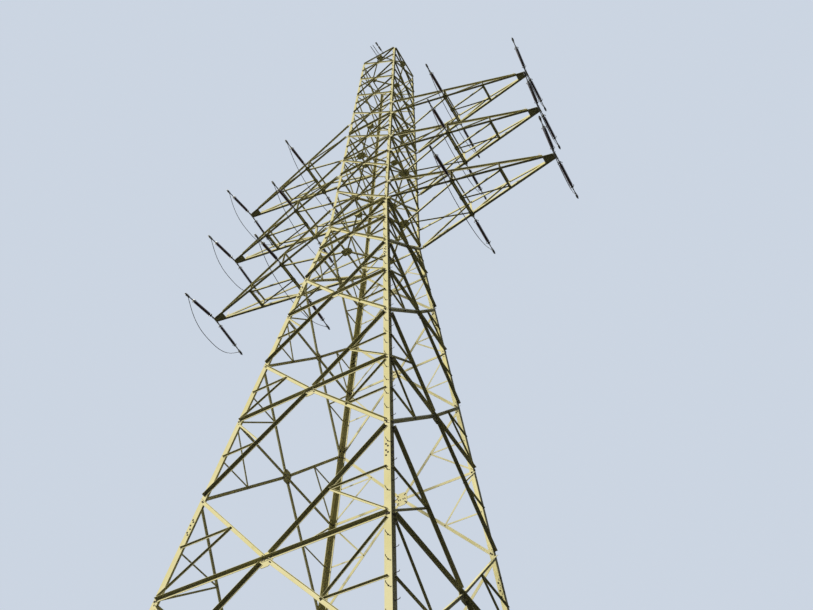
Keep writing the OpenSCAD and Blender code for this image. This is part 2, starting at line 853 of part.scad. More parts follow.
at_corner(180) footing();  // footing_front_left
at_corner(270) footing();  // footing_front_right
at_corner(0) footing();  // footing_back_right
at_corner(90) footing();  // footing_back_left
at_corner(180) leg();  // leg_front_left
at_corner(270) leg();  // leg_front_right
at_corner(0) leg();  // leg_back_right
at_corner(90) leg();  // leg_back_left
lower_bracing(0);  // lower_bracing_front
lower_bracing(1);  // lower_bracing_right
lower_bracing(2);  // lower_bracing_back
lower_bracing(3);  // lower_bracing_left
upper_bracing(0);  // upper_bracing_front
upper_bracing(1);  // upper_bracing_right
upper_bracing(2);  // upper_bracing_back
upper_bracing(3);  // upper_bracing_left
cage_bracing(0);  // cage_bracing_front
cage_bracing(1);  // cage_bracing_right
cage_bracing(2);  // cage_bracing_back
cage_bracing(3);  // cage_bracing_left
level_frames();
for (i = [0 : 2]) {
    arm(i, 1);
    mirror([1, 0, 0]) arm(i, -1);
    insulators(i, 1);
    mirror([1, 0, 0]) insulators(i, -1);
    fittings(i, 1);
    mirror([1, 0, 0]) fittings(i, -1);
    jumpers(i);
}
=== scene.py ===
"""Looks of a lattice transmission pylon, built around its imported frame.

The sizes held by the classes are millimetres, as in the part's source, and the meshes are
made in metres. The origin is on the ground between the four legs, X runs along the
cross-arms, Y along the line of conductors, and Z is up.
"""

import logging
import math
from collections.abc import Sequence
from dataclasses import dataclass
from enum import Enum
from typing import ClassVar

import bpy
from mathutils import Matrix, Vector


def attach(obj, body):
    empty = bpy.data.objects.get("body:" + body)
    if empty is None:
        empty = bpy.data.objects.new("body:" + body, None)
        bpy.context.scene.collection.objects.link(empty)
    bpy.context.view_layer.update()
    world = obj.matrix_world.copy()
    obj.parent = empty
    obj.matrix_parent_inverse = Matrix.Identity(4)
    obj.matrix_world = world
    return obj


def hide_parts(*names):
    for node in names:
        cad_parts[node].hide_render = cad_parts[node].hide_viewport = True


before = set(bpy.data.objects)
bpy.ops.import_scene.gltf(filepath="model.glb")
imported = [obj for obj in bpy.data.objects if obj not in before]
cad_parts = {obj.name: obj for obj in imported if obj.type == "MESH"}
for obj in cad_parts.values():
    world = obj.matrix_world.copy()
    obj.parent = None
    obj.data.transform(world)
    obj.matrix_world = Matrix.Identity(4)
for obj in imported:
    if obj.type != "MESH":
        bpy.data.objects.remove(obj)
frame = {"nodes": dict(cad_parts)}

LOG = logging.getLogger("pylon")
MM = 0.001
MIX_SHARE, MIX_A, MIX_B, MIX_RESULT = 0, 6, 7, 2  # sockets of a Mix node for colours

Pair = tuple[float, float]
Point = tuple[float, float, float]
Box = tuple[Point, Point]
Colour = tuple[float, float, float]
Ends = tuple[Vector, Vector]
Socket = bpy.types.NodeSocket


def move(x: float = 0.0, y: float = 0.0, z: float = 0.0) -> Matrix:
    """Returns the shift by x, y and z."""
    return Matrix.Translation((x, y, z))


def turn(degrees: float, axis: str) -> Matrix:
    """Returns the rotation about one of the axes X, Y and Z."""
    return Matrix.Rotation(math.radians(degrees), 4, axis)


ALONG_X = turn(90, "Y")
UPSIDE_DOWN = turn(180, "X")


def mix(a: Vector, b: Vector, share: float) -> Vector:
    """Returns the point at a share of the way from a to b."""
    return a + (b - a) * share


class NodeWord(Enum):
    """Choices whose names stand in the names of nodes and pieces."""

    @property
    def word(self) -> str:
        """Returns the name as nodes and pieces have it."""
        return self.name.lower()


class Side(NodeWord):
    """The four sides of the tower, by the quarter turns that lead to them."""

    FRONT = 0
    RIGHT = 1
    BACK = 2
    LEFT = 3


class Corner(NodeWord):
    """The four legs, by the turn from the corner at +X and +Y."""

    BACK_RIGHT = 0
    BACK_LEFT = 90
    FRONT_LEFT = 180
    FRONT_RIGHT = 270


class Hand(NodeWord):
    """The side of the tower on which an arm stands."""

    RIGHT = 1
    LEFT = -1

    @property
    def mirror(self) -> Matrix:
        """Returns the matrix that puts an arm of the +X side on this side."""
        return Matrix.Diagonal((self.value, 1.0, 1.0, 1.0))


class Tier(NodeWord):
    """The three pairs of arms, from the top down."""

    TOP = 0
    MIDDLE = 1
    BOTTOM = 2


class Slot(Enum):
    """Names of material slots, which the dressing passes to Shape.build."""

    PAINTED_STEEL = "painted_steel"
    GALVANISED = "galvanised"
    PORCELAIN = "porcelain"


LEG_FACES: dict[Corner, tuple[tuple[Side, int], tuple[Side, int]]] = {
    Corner.FRONT_RIGHT: ((Side.FRONT, 1), (Side.RIGHT, -1)),
    Corner.BACK_RIGHT: ((Side.RIGHT, 1), (Side.BACK, -1)),
    Corner.BACK_LEFT: ((Side.BACK, 1), (Side.LEFT, -1)),
    Corner.FRONT_LEFT: ((Side.LEFT, 1), (Side.FRONT, -1)),
}


class Shape:
    """Collects the faces of one piece in millimetres and makes an object of them."""

    def __init__(self, name: str) -> None:
        """Starts an empty piece.

        Args:
            name: The name of the object to be made.
        """
        self.name = name
        self.points: list[Point] = []
        self.faces: list[tuple[int, ...]] = []
        self.smooth: list[bool] = []

    def add(
        self,
        place: Matrix,
        points: Sequence[Sequence[float]],
        faces: Sequence[Sequence[int]],
        smooth: bool = False,
    ) -> None:
        """Adds a set of faces.

        Args:
            place: The matrix that puts the points in the tower's frame.
            points: The points in their own frame.
            faces: The corners of each face, counter-clockwise from outside.
            smooth: Whether the faces are shaded as one curved surface.
        """
        first = len(self.points)
        flipped = place.determinant() < 0
        for point in points:
            put = place @ Vector(point)
            self.points.append((put.x * MM, put.y * MM, put.z * MM))
        for face in faces:
            corners = tuple(first + k for k in face)
            self.faces.append(corners[::-1] if flipped else corners)
            self.smooth.append(smooth)

    def rings(
        self, place: Matrix, rings: Sequence[Sequence[Sequence[float]]], smooth: bool = False
    ) -> None:
        """Adds a skin over rings of points that all have the same count, closed at both ends.

        Args:
            place: The matrix that puts the rings in the tower's frame.
            rings: Rings of points, counter-clockwise about the way they follow.
            smooth: Whether the skin is shaded as one curved surface.
        """
        count = len(rings[0])
        skin = []
        for low in range(0, count * (len(rings) - 1), count):
            high = low + count
            for k in range(count):
                after = (k + 1) % count
                skin.append((low + k, low + after, high + after, high + k))
        self.add(place, [point for ring in rings for point in ring], skin, smooth)
        end = tuple(range(count))
        self.add(place, rings[0], [end[::-1]])
        self.add(place, rings[-1], [end])

    def turned(self, place: Matrix, outline: Sequence[Pair], sides: int, smooth: bool = False) -> None:
        """Adds a body turned about Z.

        Args:
            place: The matrix that puts the body in the tower's frame.
            outline: Pairs of height and radius from one end to the other.
            sides: The number of sides.
            smooth: Whether the skin is shaded as one curved surface.
        """
        angles = [math.tau * k / sides for k in range(sides)]
        rings = [[(r * math.cos(a), r * math.sin(a), z) for a in angles] for z, r in outline]
        self.rings(place, rings, smooth)

    def plate(self, place: Matrix, outline: Sequence[Pair], low: float, high: float) -> None:
        """Adds a flat plate between two heights, whose outline is counter-clockwise from above."""
        self.rings(place, [[(x, y, z) for x, y in outline] for z in (low, high)])

    def block(self, place: Matrix, low: Point, high: Point) -> None:
        """Adds a block between two opposite corners."""
        outline = [(low[0], low[1]), (high[0], low[1]), (high[0], high[1]), (low[0], high[1])]
        self.plate(place, outline, low[2], high[2])

    def angle_bar(
        self, place: Matrix, ends: Ends, flange: float, thick: float, lift: float
    ) -> None:
        """Adds an angle bar that lies on a plane, with its second flange along its upper edge.

        Args:
            place: The matrix that puts the plane in the tower's frame.
            ends: The two ends of the bar's middle line, in either order.
            flange: The width of its flanges.
            thick: The thickness of its flanges.
            lift: The height of its lower face over the plane.
        """
        start, end = sorted(ends, key=lambda point: point.x)
        way = end - start
        lie = place @ move(start.x, start.y, lift) @ turn(math.degrees(math.atan2(way.y, way.x)), "Z")
        edge, inner = flange / 2, flange / 2 - thick
        outline = [(-edge, 0), (edge, 0), (edge, flange), (inner, flange), (inner, thick), (-edge, thick)]
        self.rings(lie, [[(x, y, z) for y, z in outline] for x in (0.0, way.length)])

    def rod(self, place: Matrix, path: Sequence[Vector], diameter: float, sides: int = 8) -> None:
        """Adds a round rod along a path.

        Args:
            place: The matrix that puts the path in the tower's frame.
            path: The points that the rod's middle follows.
            diameter: The rod's diameter.
            sides: The number of sides.
        """
        angles = [math.tau * n / sides for n in range(sides)]
        rings = []
        last = len(path) - 1
        up = Vector((0.31, 0.2, 0.93))  # no rod runs this way
        for k, point in enumerate(path):
            way = (path[min(k + 1, last)] - path[max(k - 1, 0)]).normalized()
            across = way.cross(up).normalized()
            up = across.cross(way).normalized()
            spokes = [across * math.sin(a) + up * math.cos(a) for a in angles]
            rings.append([point - spoke * (diameter / 2) for spoke in spokes])
        self.rings(place, rings, smooth=True)

    def build(self, material: bpy.types.Material, slot: Slot) -> bpy.types.Object:
        """Makes the object, which rides on the tower's one body.

        Args:
            material: The finish of the piece.
            slot: The material slot that the finish belongs to; not used.

        Returns:
            The new object.
        """
        mesh = bpy.data.meshes.new(self.name)
        mesh.from_pydata(self.points, [], self.faces)
        mesh.polygons.foreach_set("use_smooth", self.smooth)
        mesh.materials.append(material)
        mesh.update()
        piece = bpy.data.objects.new(self.name, mesh)
        bpy.context.scene.collection.objects.link(piece)
        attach(piece, "root")
        LOG.info("%s: %d faces", self.name, len(self.faces))
        return piece


@dataclass(frozen=True)
class Mottle:
    """A noise whose values between two limits are spread over a range.

    The scale is per metre, and the roughness is the weight of the finer octaves.
    """

    scale: float
    detail: float
    limits: Pair = (0.35, 0.65)
    result: Pair = (0.0, 1.0)
    roughness: float = 0.55


@dataclass(frozen=True)
class Grain:
    """The fine bumps of a surface: the scale of their pattern, their strength and depth in metres."""

    scale: float
    strength: float
    depth: float
    detail: float = 3.0
    roughness: float = 0.55


def combined(tree: bpy.types.NodeTree, operation: str, a: Socket, b: Socket) -> Socket:
    """Makes a Math node on two values.

    Args:
        tree: The node tree.
        operation: The node's operation.
        a: The first value.
        b: The second value.

    Returns:
        The result.
    """
    node = tree.nodes.new("ShaderNodeMath")
    node.operation = operation
    tree.links.new(a, node.inputs[0])
    tree.links.new(b, node.inputs[1])
    return node.outputs[0]


class NodeBench:
    """Builds the node tree of one finish with the object's own coordinates."""

    def __init__(self, name: str) -> None:
        """Starts a material with a Principled shader.

        Args:
            name: The name of the material.
        """
        self.material = bpy.data.materials.new(name)
        self.material.use_nodes = True
        self.tree = self.material.node_tree
        self.shader = self.tree.nodes["Principled BSDF"]
        self.place = self.tree.nodes.new("ShaderNodeTexCoord").outputs["Object"]

    def link(self, output: Socket, target: Socket) -> None:
        """Links an output to an input."""
        self.tree.links.new(output, target)

    def made(
        self, kind: str, values: dict[str, float | Point], place: Socket | None = None
    ) -> bpy.types.Node:
        """Makes a node that reads the coordinates.

        Args:
            kind: The node's type.
            values: The values of its sockets by name.
            place: The coordinates, or None for the object's own.

        Returns:
            The new node.
        """
        node = self.tree.nodes.new(kind)
        for name, value in values.items():
            node.inputs[name].default_value = value
        self.link(place or self.place, node.inputs["Vector"])
        return node

    def stretched(self, scale: Point) -> Socket:
        """Returns the coordinates with each axis scaled."""
        return self.made("ShaderNodeMapping", {"Scale": scale}).outputs["Vector"]

    def noise(self, kind: Mottle | Grain, place: Socket | None = None) -> Socket:
        """Returns the noise of a mottle or a grain, at the object's coordinates or others."""
        values = {"Scale": kind.scale, "Detail": kind.detail, "Roughness": kind.roughness}
        return self.made("ShaderNodeTexNoise", values, place).outputs["Fac"]

    def spread(self, value: Socket, limits: Pair, result: Pair = (0.0, 1.0)) -> Socket:
        """Maps a range of values, smoothly and clamped.

        Args:
            value: The value to map.
            limits: The values that become the first and the second of the result.
            result: The range of the result.

        Returns:
            The mapped value.
        """
        node = self.tree.nodes.new("ShaderNodeMapRange")
        node.interpolation_type = "SMOOTHSTEP"
        ends = zip(("From Min", "From Max", "To Min", "To Max"), (*limits, *result))
        for name, end in ends:
            node.inputs[name].default_value = end
        self.link(value, node.inputs["Value"])
        return node.outputs["Result"]

    def mottled(self, kind: Mottle, place: Socket | None = None) -> Socket:
        """Returns the values of a mottle, at the object's coordinates or others."""
        return self.spread(self.noise(kind, place), kind.limits, kind.result)

    def underside(self, limits: Pair, most: float) -> Socket:
        """Makes a share that grows as a face turns down.

        Args:
            limits: The upward parts of the normal at which the share is none and full.
            most: The full share.

        Returns:
            The share.
        """
        face = self.tree.nodes.new("ShaderNodeNewGeometry")
        parts = self.tree.nodes.new("ShaderNodeSeparateXYZ")
        self.link(face.outputs["Normal"], parts.inputs["Vector"])
        return self.spread(parts.outputs["Z"], limits, (0.0, most))

    def blended(self, share: Socket, a: Socket | Colour, b: Socket | Colour) -> Socket:
        """Mixes two colours.

        Args:
            share: The share of the second colour.
            a: The first colour or the socket that gives it.
            b: The second colour or the socket that gives it.

        Returns:
            The mixed colour.
        """
        node = self.tree.nodes.new("ShaderNodeMix")
        node.data_type = "RGBA"
        self.link(share, node.inputs[MIX_SHARE])
        for colour, target in ((a, node.inputs[MIX_A]), (b, node.inputs[MIX_B])):
            if isinstance(colour, tuple):
                target.default_value = (*colour, 1.0)
            else:
                self.link(colour, target)
        return node.outputs[MIX_RESULT]

    def bumped(self, height: Socket, grain: Grain) -> None:
        """Gives the shader bumps.

        Args:
            height: The height of the bumps, from 0 to 1.
            grain: The strength of the bumps, and the depth that a height of 1 stands for.
        """
        node = self.tree.nodes.new("ShaderNodeBump")
        node.inputs["Strength"].default_value = grain.strength
        node.inputs["Distance"].default_value = grain.depth
        self.link(height, node.inputs["Height"])
        self.link(node.outputs["Normal"], self.shader.inputs["Normal"])


@dataclass(frozen=True)
class Finish:
    """A surface of two tones under spots of a third colour.

    The gloss is the mottle of the roughness, and the values are those of other shader sockets.
    """

    name: str
    base: Colour
    worn: Colour
    spot: Colour
    tone: Mottle
    spots: Mottle
    gloss: Mottle
    grain: Grain
    values: tuple[tuple[str, float], ...] = ()

    def body(self, bench: NodeBench) -> Socket:
        """Returns the mixed tones."""
        return bench.blended(bench.mottled(self.tone), self.base, self.worn)

    def spotting(self, bench: NodeBench) -> Socket:
        """Returns the share of the spots."""
        return bench.mottled(self.spots)

    def height(self, bench: NodeBench) -> Socket:
        """Returns the height of the bumps."""
        return bench.noise(self.grain)

    def material(self) -> bpy.types.Material:
        """Returns the finish as a material."""
        bench = NodeBench(self.name)
        colour = bench.blended(self.spotting(bench), self.body(bench), self.spot)
        bench.link(colour, bench.shader.inputs["Base Color"])
        bench.link(bench.mottled(self.gloss), bench.shader.inputs["Roughness"])
        for name, value in self.values:
            bench.shader.inputs[name].default_value = value
        bench.bumped(self.height(bench), self.grain)
        return bench.material


@dataclass(frozen=True)
class PaintedSteel(Finish):
    """Cream paint on rolled steel, chalked by the weather, with painted shade on the faces that turn down.
    """

    name: str = "cream_paint_on_steel"
    base: Colour = (0.655, 0.612, 0.315)
    worn: Colour = (0.70, 0.66, 0.385)
    spot: Colour = (0.20, 0.085, 0.03)
    tone: Mottle = Mottle(1.3, 4)
    spots: Mottle = Mottle(3.6, 4, (0.68, 0.76), roughness=0.65)
    gloss: Mottle = Mottle(34.0, 4, (0.3, 0.7), (0.62, 0.82))
    grain: Grain = Grain(130.0, 0.12, 0.002, 4, 0.6)
    values: tuple[tuple[str, float], ...] = (("Specular IOR Level", 0.12),)
    stain: Colour = (0.30, 0.30, 0.15)
    streak_scale: Point = (26.0, 26.0, 2.2)
    streaks: Mottle = Mottle(1.0, 4, (0.55, 0.80), (0.0, 0.16))
    blotches: Mottle = Mottle(6.0, 4, (0.60, 0.78), (0.0, 0.20), 0.6)
    # painted shade: a dark olive mixed into the faces that turn down, growing between two upward parts of
    # the normal up to its most share
    painted_shade: Colour = (0.105, 0.118, 0.06)
    painted_shade_limits: Pair = (-0.10, -0.55)
    most_painted_shade: float = 0.55
    specks: Mottle = Mottle(95.0, 3, (0.56, 0.64), roughness=0.6)

    def body(self, bench: NodeBench) -> Socket:
        """Mixes the paint with its streaks and blotches, and paints shade on the faces that turn down.

        Args:
            bench: The bench on which the finish is made.

        Returns:
            The mixed colour.
        """
        paint = bench.blended(bench.mottled(self.tone), self.base, self.worn)
        streaks = bench.mottled(self.streaks, bench.stretched(self.streak_scale))
        dirty = bench.blended(streaks, paint, self.stain)
        dirty = bench.blended(bench.mottled(self.blotches), dirty, self.stain)
        # painted shade: faces that turn down are darkened towards a dark olive
        return bench.blended(bench.underside(self.painted_shade_limits, self.most_painted_shade), dirty, self.painted_shade)

    def spotting(self, bench: NodeBench) -> Socket:
        """Returns the share of the rust, fine specks within patches."""
        return combined(bench.tree, "MULTIPLY", bench.mottled(self.spots), bench.mottled(self.specks))


@dataclass(frozen=True)
class BoltSteel(Finish):
    """Galvanised bolts that have gone dark, with rust at their washers."""

    name: str = "aged_zinc_bolts"
    base: Colour = (0.062, 0.048, 0.032)
    worn: Colour = (0.036, 0.028, 0.02)
    spot: Colour = (0.065, 0.027, 0.012)
    tone: Mottle = Mottle(7.0, 3)
    spots: Mottle = Mottle(22.0, 4, (0.55, 0.72), (0.0, 0.8), 0.65)
    gloss: Mottle = Mottle(60.0, 3, (0.3, 0.7), (0.45, 0.7))
    grain: Grain = Grain(300.0, 0.15, 0.001)
    values: tuple[tuple[str, float], ...] = (("Metallic", 0.35),)


@dataclass(frozen=True)
class GlazedPorcelain(Finish):
    """Dark brown glaze on long-rod insulators, dusted in patches."""

    name: str = "brown_glazed_porcelain"
    base: Colour = (0.045, 0.016, 0.010)
    worn: Colour = (0.085, 0.030, 0.017)
    spot: Colour = (0.17, 0.14, 0.11)
    tone: Mottle = Mottle(4.0, 3)
    spots: Mottle = Mottle(30.0, 5, (0.52, 0.75), (0.0, 0.4), 0.65)
    gloss: Mottle = Mottle(26.0, 4, (0.35, 0.75), (0.12, 0.42))
    grain: Grain = Grain(70.0, 0.06, 0.001)
    values: tuple[tuple[str, float], ...] = (("Coat Weight", 0.4), ("Coat Roughness", 0.12))


@dataclass(frozen=True)
class GalvanisedCasting(Finish):
    """Dull galvanised castings and forged links, spotted with rust."""

    name: str = "dull_galvanised_castings"
    base: Colour = (0.24, 0.24, 0.22)
    worn: Colour = (0.13, 0.13, 0.12)
    spot: Colour = (0.16, 0.08, 0.04)
    tone: Mottle = Mottle(16.0, 4)
    spots: Mottle = Mottle(40.0, 5, (0.58, 0.72), (0.0, 0.75), 0.68)
    gloss: Mottle = Mottle(50.0, 3, (0.3, 0.7), (0.42, 0.65))
    grain: Grain = Grain(160.0, 0.2, 0.0015, 4)
    values: tuple[tuple[str, float], ...] = (("Metallic", 0.6),)


@dataclass(frozen=True)
class PaleHorns(GalvanisedCasting):
    """The cleaner zinc of the arcing horns."""

    name: str = "pale_galvanised_horns"
    base: Colour = (0.66, 0.66, 0.63)
    worn: Colour = (0.48, 0.48, 0.46)


@dataclass(frozen=True)
class EnamelPlate(Finish):
    """White enamel on the small plates near the arm tips, greyed by weather."""

    name: str = "white_enamel_plates"
    base: Colour = (0.78, 0.79, 0.78)
    worn: Colour = (0.56, 0.57, 0.56)
    spot: Colour = (0.26, 0.12, 0.06)
    tone: Mottle = Mottle(9.0, 4, (0.4, 0.7))
    spots: Mottle = Mottle(45.0, 4, (0.64, 0.74), (0.0, 0.8), 0.65)
    gloss: Mottle = Mottle(50.0, 3, (0.3, 0.7), (0.3, 0.5))
    grain: Grain = Grain(120.0, 0.08, 0.001)


@dataclass(frozen=True)
class StrandedCable(Finish):
    """Weathered aluminium strands, grey with dark grooves."""

    name: str = "weathered_stranded_cable"
    base: Colour = (0.24, 0.24, 0.235)
    worn: Colour = (0.09, 0.09, 0.088)
    spot: Colour = (0.09, 0.09, 0.088)
    tone: Mottle = Mottle(9.0, 4, result=(0.0, 0.5))
    spots: Mottle = Mottle(55.0, 0, (0.15, 0.6), (1.0, 0.0))
    gloss: Mottle = Mottle(60.0, 3, (0.3, 0.7), (0.4, 0.6))
    grain: Grain = Grain(55.0, 0.4, 0.002)
    values: tuple[tuple[str, float], ...] = (("Metallic", 0.7),)
    distortion: float = 0.4

    def strands(self, bench: NodeBench, scale: float) -> Socket:
        """Makes the slanting bands of the strands.

        Args:
            bench: The bench on which the finish is made.
            scale: The bands' scale, per metre.

        Returns:
            The height of the bands.
        """
        wave = bench.made("ShaderNodeTexWave", {"Scale": scale, "Distortion": self.distortion})
        wave.bands_direction = "DIAGONAL"
        return wave.outputs["Fac"]

    def spotting(self, bench: NodeBench) -> Socket:
        """Returns the share of the grooves."""
        return bench.spread(self.strands(bench, self.spots.scale), self.spots.limits, self.spots.result)

    def height(self, bench: NodeBench) -> Socket:
        """Returns the height of the strands."""
        return self.strands(bench, self.grain.scale)


@dataclass(frozen=True)
class CastConcrete(Finish):
    """Weathered concrete with damp stains and small air holes."""

    name: str = "weathered_concrete"
    base: Colour = (0.47, 0.455, 0.42)
    worn: Colour = (0.25, 0.245, 0.215)
    spot: Colour = (0.11, 0.105, 0.095)
    tone: Mottle = Mottle(5.0, 5, (0.38, 0.68), roughness=0.6)
    spots: Mottle = Mottle(42.0, 0, (0.06, 0.14), (0.85, 0.0))
    gloss: Mottle = Mottle(70.0, 3, (0.3, 0.7), (0.8, 0.95))
    grain: Grain = Grain(90.0, 0.5, 0.004, 6, 0.7)

    def spotting(self, bench: NodeBench) -> Socket:
        """Returns the share of the air holes."""
        cells = bench.made("ShaderNodeTexVoronoi", {"Scale": self.spots.scale})
        return bench.spread(cells.outputs["Distance"], self.spots.limits, self.spots.result)


class Finishes:
    """One material for each finish of the tower."""

    def __init__(self) -> None:
        """Builds every material once."""
        self.paint = PaintedSteel().material()
        self.bolts = BoltSteel().material()
        self.porcelain = GlazedPorcelain().material()
        self.casting = GalvanisedCasting().material()
        self.horns = PaleHorns().material()
        self.cable = StrandedCable().material()
        self.concrete = CastConcrete().material()
        self.enamel = EnamelPlate().material()

    def of_node(self, node: str) -> bpy.types.Material:
        """Finds the material of a CAD node.

        Args:
            node: The node's name, whose first word tells its kind.

        Returns:
            The material.
        """
        kinds = {
            "footing": self.concrete,
            "insulators": self.porcelain,
            "fittings": self.casting,
            "jumpers": self.cable,
        }
        return kinds.get(node.split("_")[0], self.paint)

    def dress(self, nodes: dict[str, bpy.types.Object]) -> None:
        """Gives every CAD node its material.

        Args:
            nodes: The CAD nodes by name.
        """
        for name, node in nodes.items():
            node.data.materials.clear()
            node.data.materials.append(self.of_node(name))


@dataclass(frozen=True)
class TowerPlan:
    """The tower's driving sizes and the points that follow from them."""

    base_w: float = 4960.0
    waist_w: float = 1350.0
    top_w: float = 1016.0
    pylon_h: float = 25640.0
    waist_z: float = 16920.0
    panel_shares: tuple[float, ...] = (0.3416, 0.2128, 0.1748, 0.152)
    strut_share: float = 0.466
    low_bay_share: float = 0.167
    mid_bay_share: float = 0.147
    high_bay_count: int = 3
    low_leg_flange: float = 92.0
    low_leg_t: float = 9.0
    high_leg_flange: float = 62.0
    high_leg_t: float = 6.0
    body_bar_t: float = 4.0
    stiffener_flange: float = 26.0
    stiffener_t: float = 3.0
    cage_bar_t: float = 3.5
    gusset_t: float = 6.0
    cap_h: float = 160.0
    foot_plate_w: float = 240.0
    foot_plate_t: float = 12.0
    seat: float = 0.5
    weld: float = 1.2

    @property
    def cage_h(self) -> float:
        """Returns the height of the cage above the waist."""
        return self.pylon_h - self.waist_z

    @property
    def body_slope(self) -> float:
        """Returns the inward lean of the body's sides."""
        return (self.base_w - self.waist_w) / 2 / self.waist_z

    @property
    def cage_slope(self) -> float:
        """Returns the inward lean of the cage's sides."""
        return (self.waist_w - self.top_w) / 2 / self.cage_h

    @property
    def body_levels(self) -> list[float]:
        """Returns the panel boundaries of the body, from the ground to the waist."""
        levels = [0.0]
        for share in self.panel_shares:
            levels.append(levels[-1] + self.waist_z * share)
        return [*levels, self.waist_z]

    @property
    def cage_levels(self) -> list[float]:
        """Returns the bay boundaries of the cage, from the waist to the top."""
        low, mid, count = self.low_bay_share, self.mid_bay_share, self.high_bay_count
        shares = [low, low, mid, mid] + [(1 - 2 * low - 2 * mid) / count] * count
        levels = [self.waist_z]
        for share in shares:
            levels.append(levels[-1] + self.cage_h * share)
        return levels

    @property
    def chord_levels(self) -> list[Pair]:
        """Returns the levels of the arms' bottom and top chords, from the top arm down."""
        c = self.cage_levels
        return [(c[3], (c[3] + c[4]) / 2), ((c[1] + c[2]) / 2, c[2]), (c[0], (c[0] + c[1]) / 2)]

    def half_at(self, z: float) -> float:
        """Finds the half width across the legs' outer corners.

        Args:
            z: The height above the ground.

        Returns:
            The half width.
        """
        if z < self.waist_z:
            return self.base_w / 2 - self.body_slope * z
        return self.waist_w / 2 - self.cage_slope * (z - self.waist_z)


@dataclass(frozen=True)
class SidePlane:
    """The outer plane of the leg flanges on one side, below or above the waist.

    In the plane x runs along the side, y runs up the slope and z points outwards.
    """

    plan: TowerPlan
    side: Side
    above_waist: bool

    @property
    def tilt(self) -> float:
        """Returns the plane's lean from the upright, in degrees."""
        slope = self.plan.cage_slope if self.above_waist else self.plan.body_slope
        return math.degrees(math.atan(slope))

    @property
    def foot(self) -> float:
        """Returns the height at which the plane's y is zero."""
        return self.plan.waist_z if self.above_waist else 0.0

    @property
    def matrix(self) -> Matrix:
        """Returns the matrix from the plane to the tower's frame."""
        half = self.plan.half_at(self.foot)
        return turn(90 * self.side.value, "Z") @ move(0, -half, self.foot) @ turn(90 - self.tilt, "X")

    def up(self, z: float) -> float:
        """Returns the plane's y at the height z."""
        return (z - self.foot) / math.cos(math.radians(self.tilt))

    def leg_point(self, hand: int, z: float, inset: float) -> Vector:
        """Returns the point of the left (hand -1) or right leg (1) at the height z, in from its corner."""
        return Vector((hand * (self.plan.half_at(z) - inset), self.up(z), 0.0))


@dataclass(frozen=True)
class Bolt:
    """A hexagon bolt with washers and a nut on the far side of what it clamps.

    The shares give the washer's radius, the foot of the chamfer and the radius at its top as
    parts of the hexagon's, the nut's height as a part of the head's, and the shank's radius as
    a part of the size across flats.
    """

    across: float
    head_h: float
    washer_t: float = 1.6
    stub: float = 6.0
    washer_share: float = 1.12
    chamfer_share: Pair = (0.82, 0.84)
    nut_share: float = 1.15
    shank_share: float = 0.3

    def hexagon(self, shape: Shape, place: Matrix, height: float) -> None:
        """Draws a chamfered hexagon on a washer.

        Args:
            shape: The piece that they are added to.
            place: The matrix of the washer's foot, with z along the bolt.
            height: The height of the head or nut on the washer.
        """
        washer = self.washer_t
        r = self.across / math.sqrt(3)
        foot, top = self.chamfer_share
        rim = r * self.washer_share
        nut = [(washer, r), (washer + height * foot, r), (washer + height, r * top)]
        shape.turned(place, [(0, rim), (washer, rim)], sides=10)
        shape.turned(place, nut, sides=6)

    def draw(self, shape: Shape, place: Matrix, grip: float, spin: float = 0.0) -> None:
        """Draws the bolt.

        Args:
            shape: The piece that the bolt is added to.
            place: The matrix of the bolt, whose z points out of the clamped surface.
            grip: The thickness of what is clamped.
            spin: The turn of the hexagon in degrees.
        """
        head = place @ turn(spin, "Z")
        nut = head @ move(z=-grip) @ UPSIDE_DOWN
        nut_h = self.head_h * self.nut_share
        self.hexagon(shape, head, self.head_h)
        self.hexagon(shape, nut, nut_h)
        top = self.washer_t + nut_h
        r = self.across * self.shank_share
        shape.turned(nut, [(top - 1, r), (top + self.stub, r)], sides=6)


class BoltGrade(Enum):
    """The sizes of bolts used on the tower."""

    LEG = Bolt(across=20.0, head_h=8.5)
    BAR = Bolt(across=15.0, head_h=6.3)
    LIGHT = Bolt(across=12.0, head_h=5.0, stub=4.0)

    def draw(self, shape: Shape, place: Matrix, grip: float, spin: float = 0.0) -> None:
        """Draws a bolt of this grade."""
        self.value.draw(shape, place, grip, spin)


def keeper(shape: Shape, place: Matrix, half: Point) -> None:
    """Draws the keeper of a clamp, a block with the bolt through it.

    Args:
        shape: The piece that the keeper is added to.
        place: The matrix of the block's middle, with z along the bolt.
        half: Half the block's size along each axis.
    """
    x, y, z = half
    shape.block(place, (-x, -y, -z), half)
    BoltGrade.LIGHT.draw(shape, place @ move(z=z), 2 * z)


@dataclass
class TowerSide:
    """One side of the tower and the bolts on it, each turned on from the last."""

    plan: TowerPlan
    side: Side
    above_waist: bool = False
    spin_step: float = 37.0

    def __post_init__(self) -> None:
        """Sets the plane that the side lies in."""
        self.plane = SidePlane(self.plan, self.side, self.above_waist)
        self.spin = 0.0

    def bolt(self, shape: Shape, grade: BoltGrade, point: Vector, top: float, grip: float) -> None:
        """Draws a bolt at a point of the plane, with its head at the height top."""
        self.spin += self.spin_step
        grade.draw(shape, self.plane.matrix @ move(point.x, point.y, top), grip, self.spin)

    def row(
        self, shape: Shape, grade: BoltGrade, ends: Ends, steps: Sequence[float], seat: Pair
    ) -> None:
        """Draws a row of bolts along a bar.

        Args:
            shape: The piece that the bolts are added to.
            grade: The size of the bolts.
            ends: The point that the steps are measured from, and the one that they lead to.
            steps: The distances of the bolts from the first point.
            seat: The height of the heads over the plane, and the thickness of what is clamped.
        """
        start, end = ends
        way = (end - start).normalized()
        for step in steps:
            self.bolt(shape, grade, start + way * step, *seat)


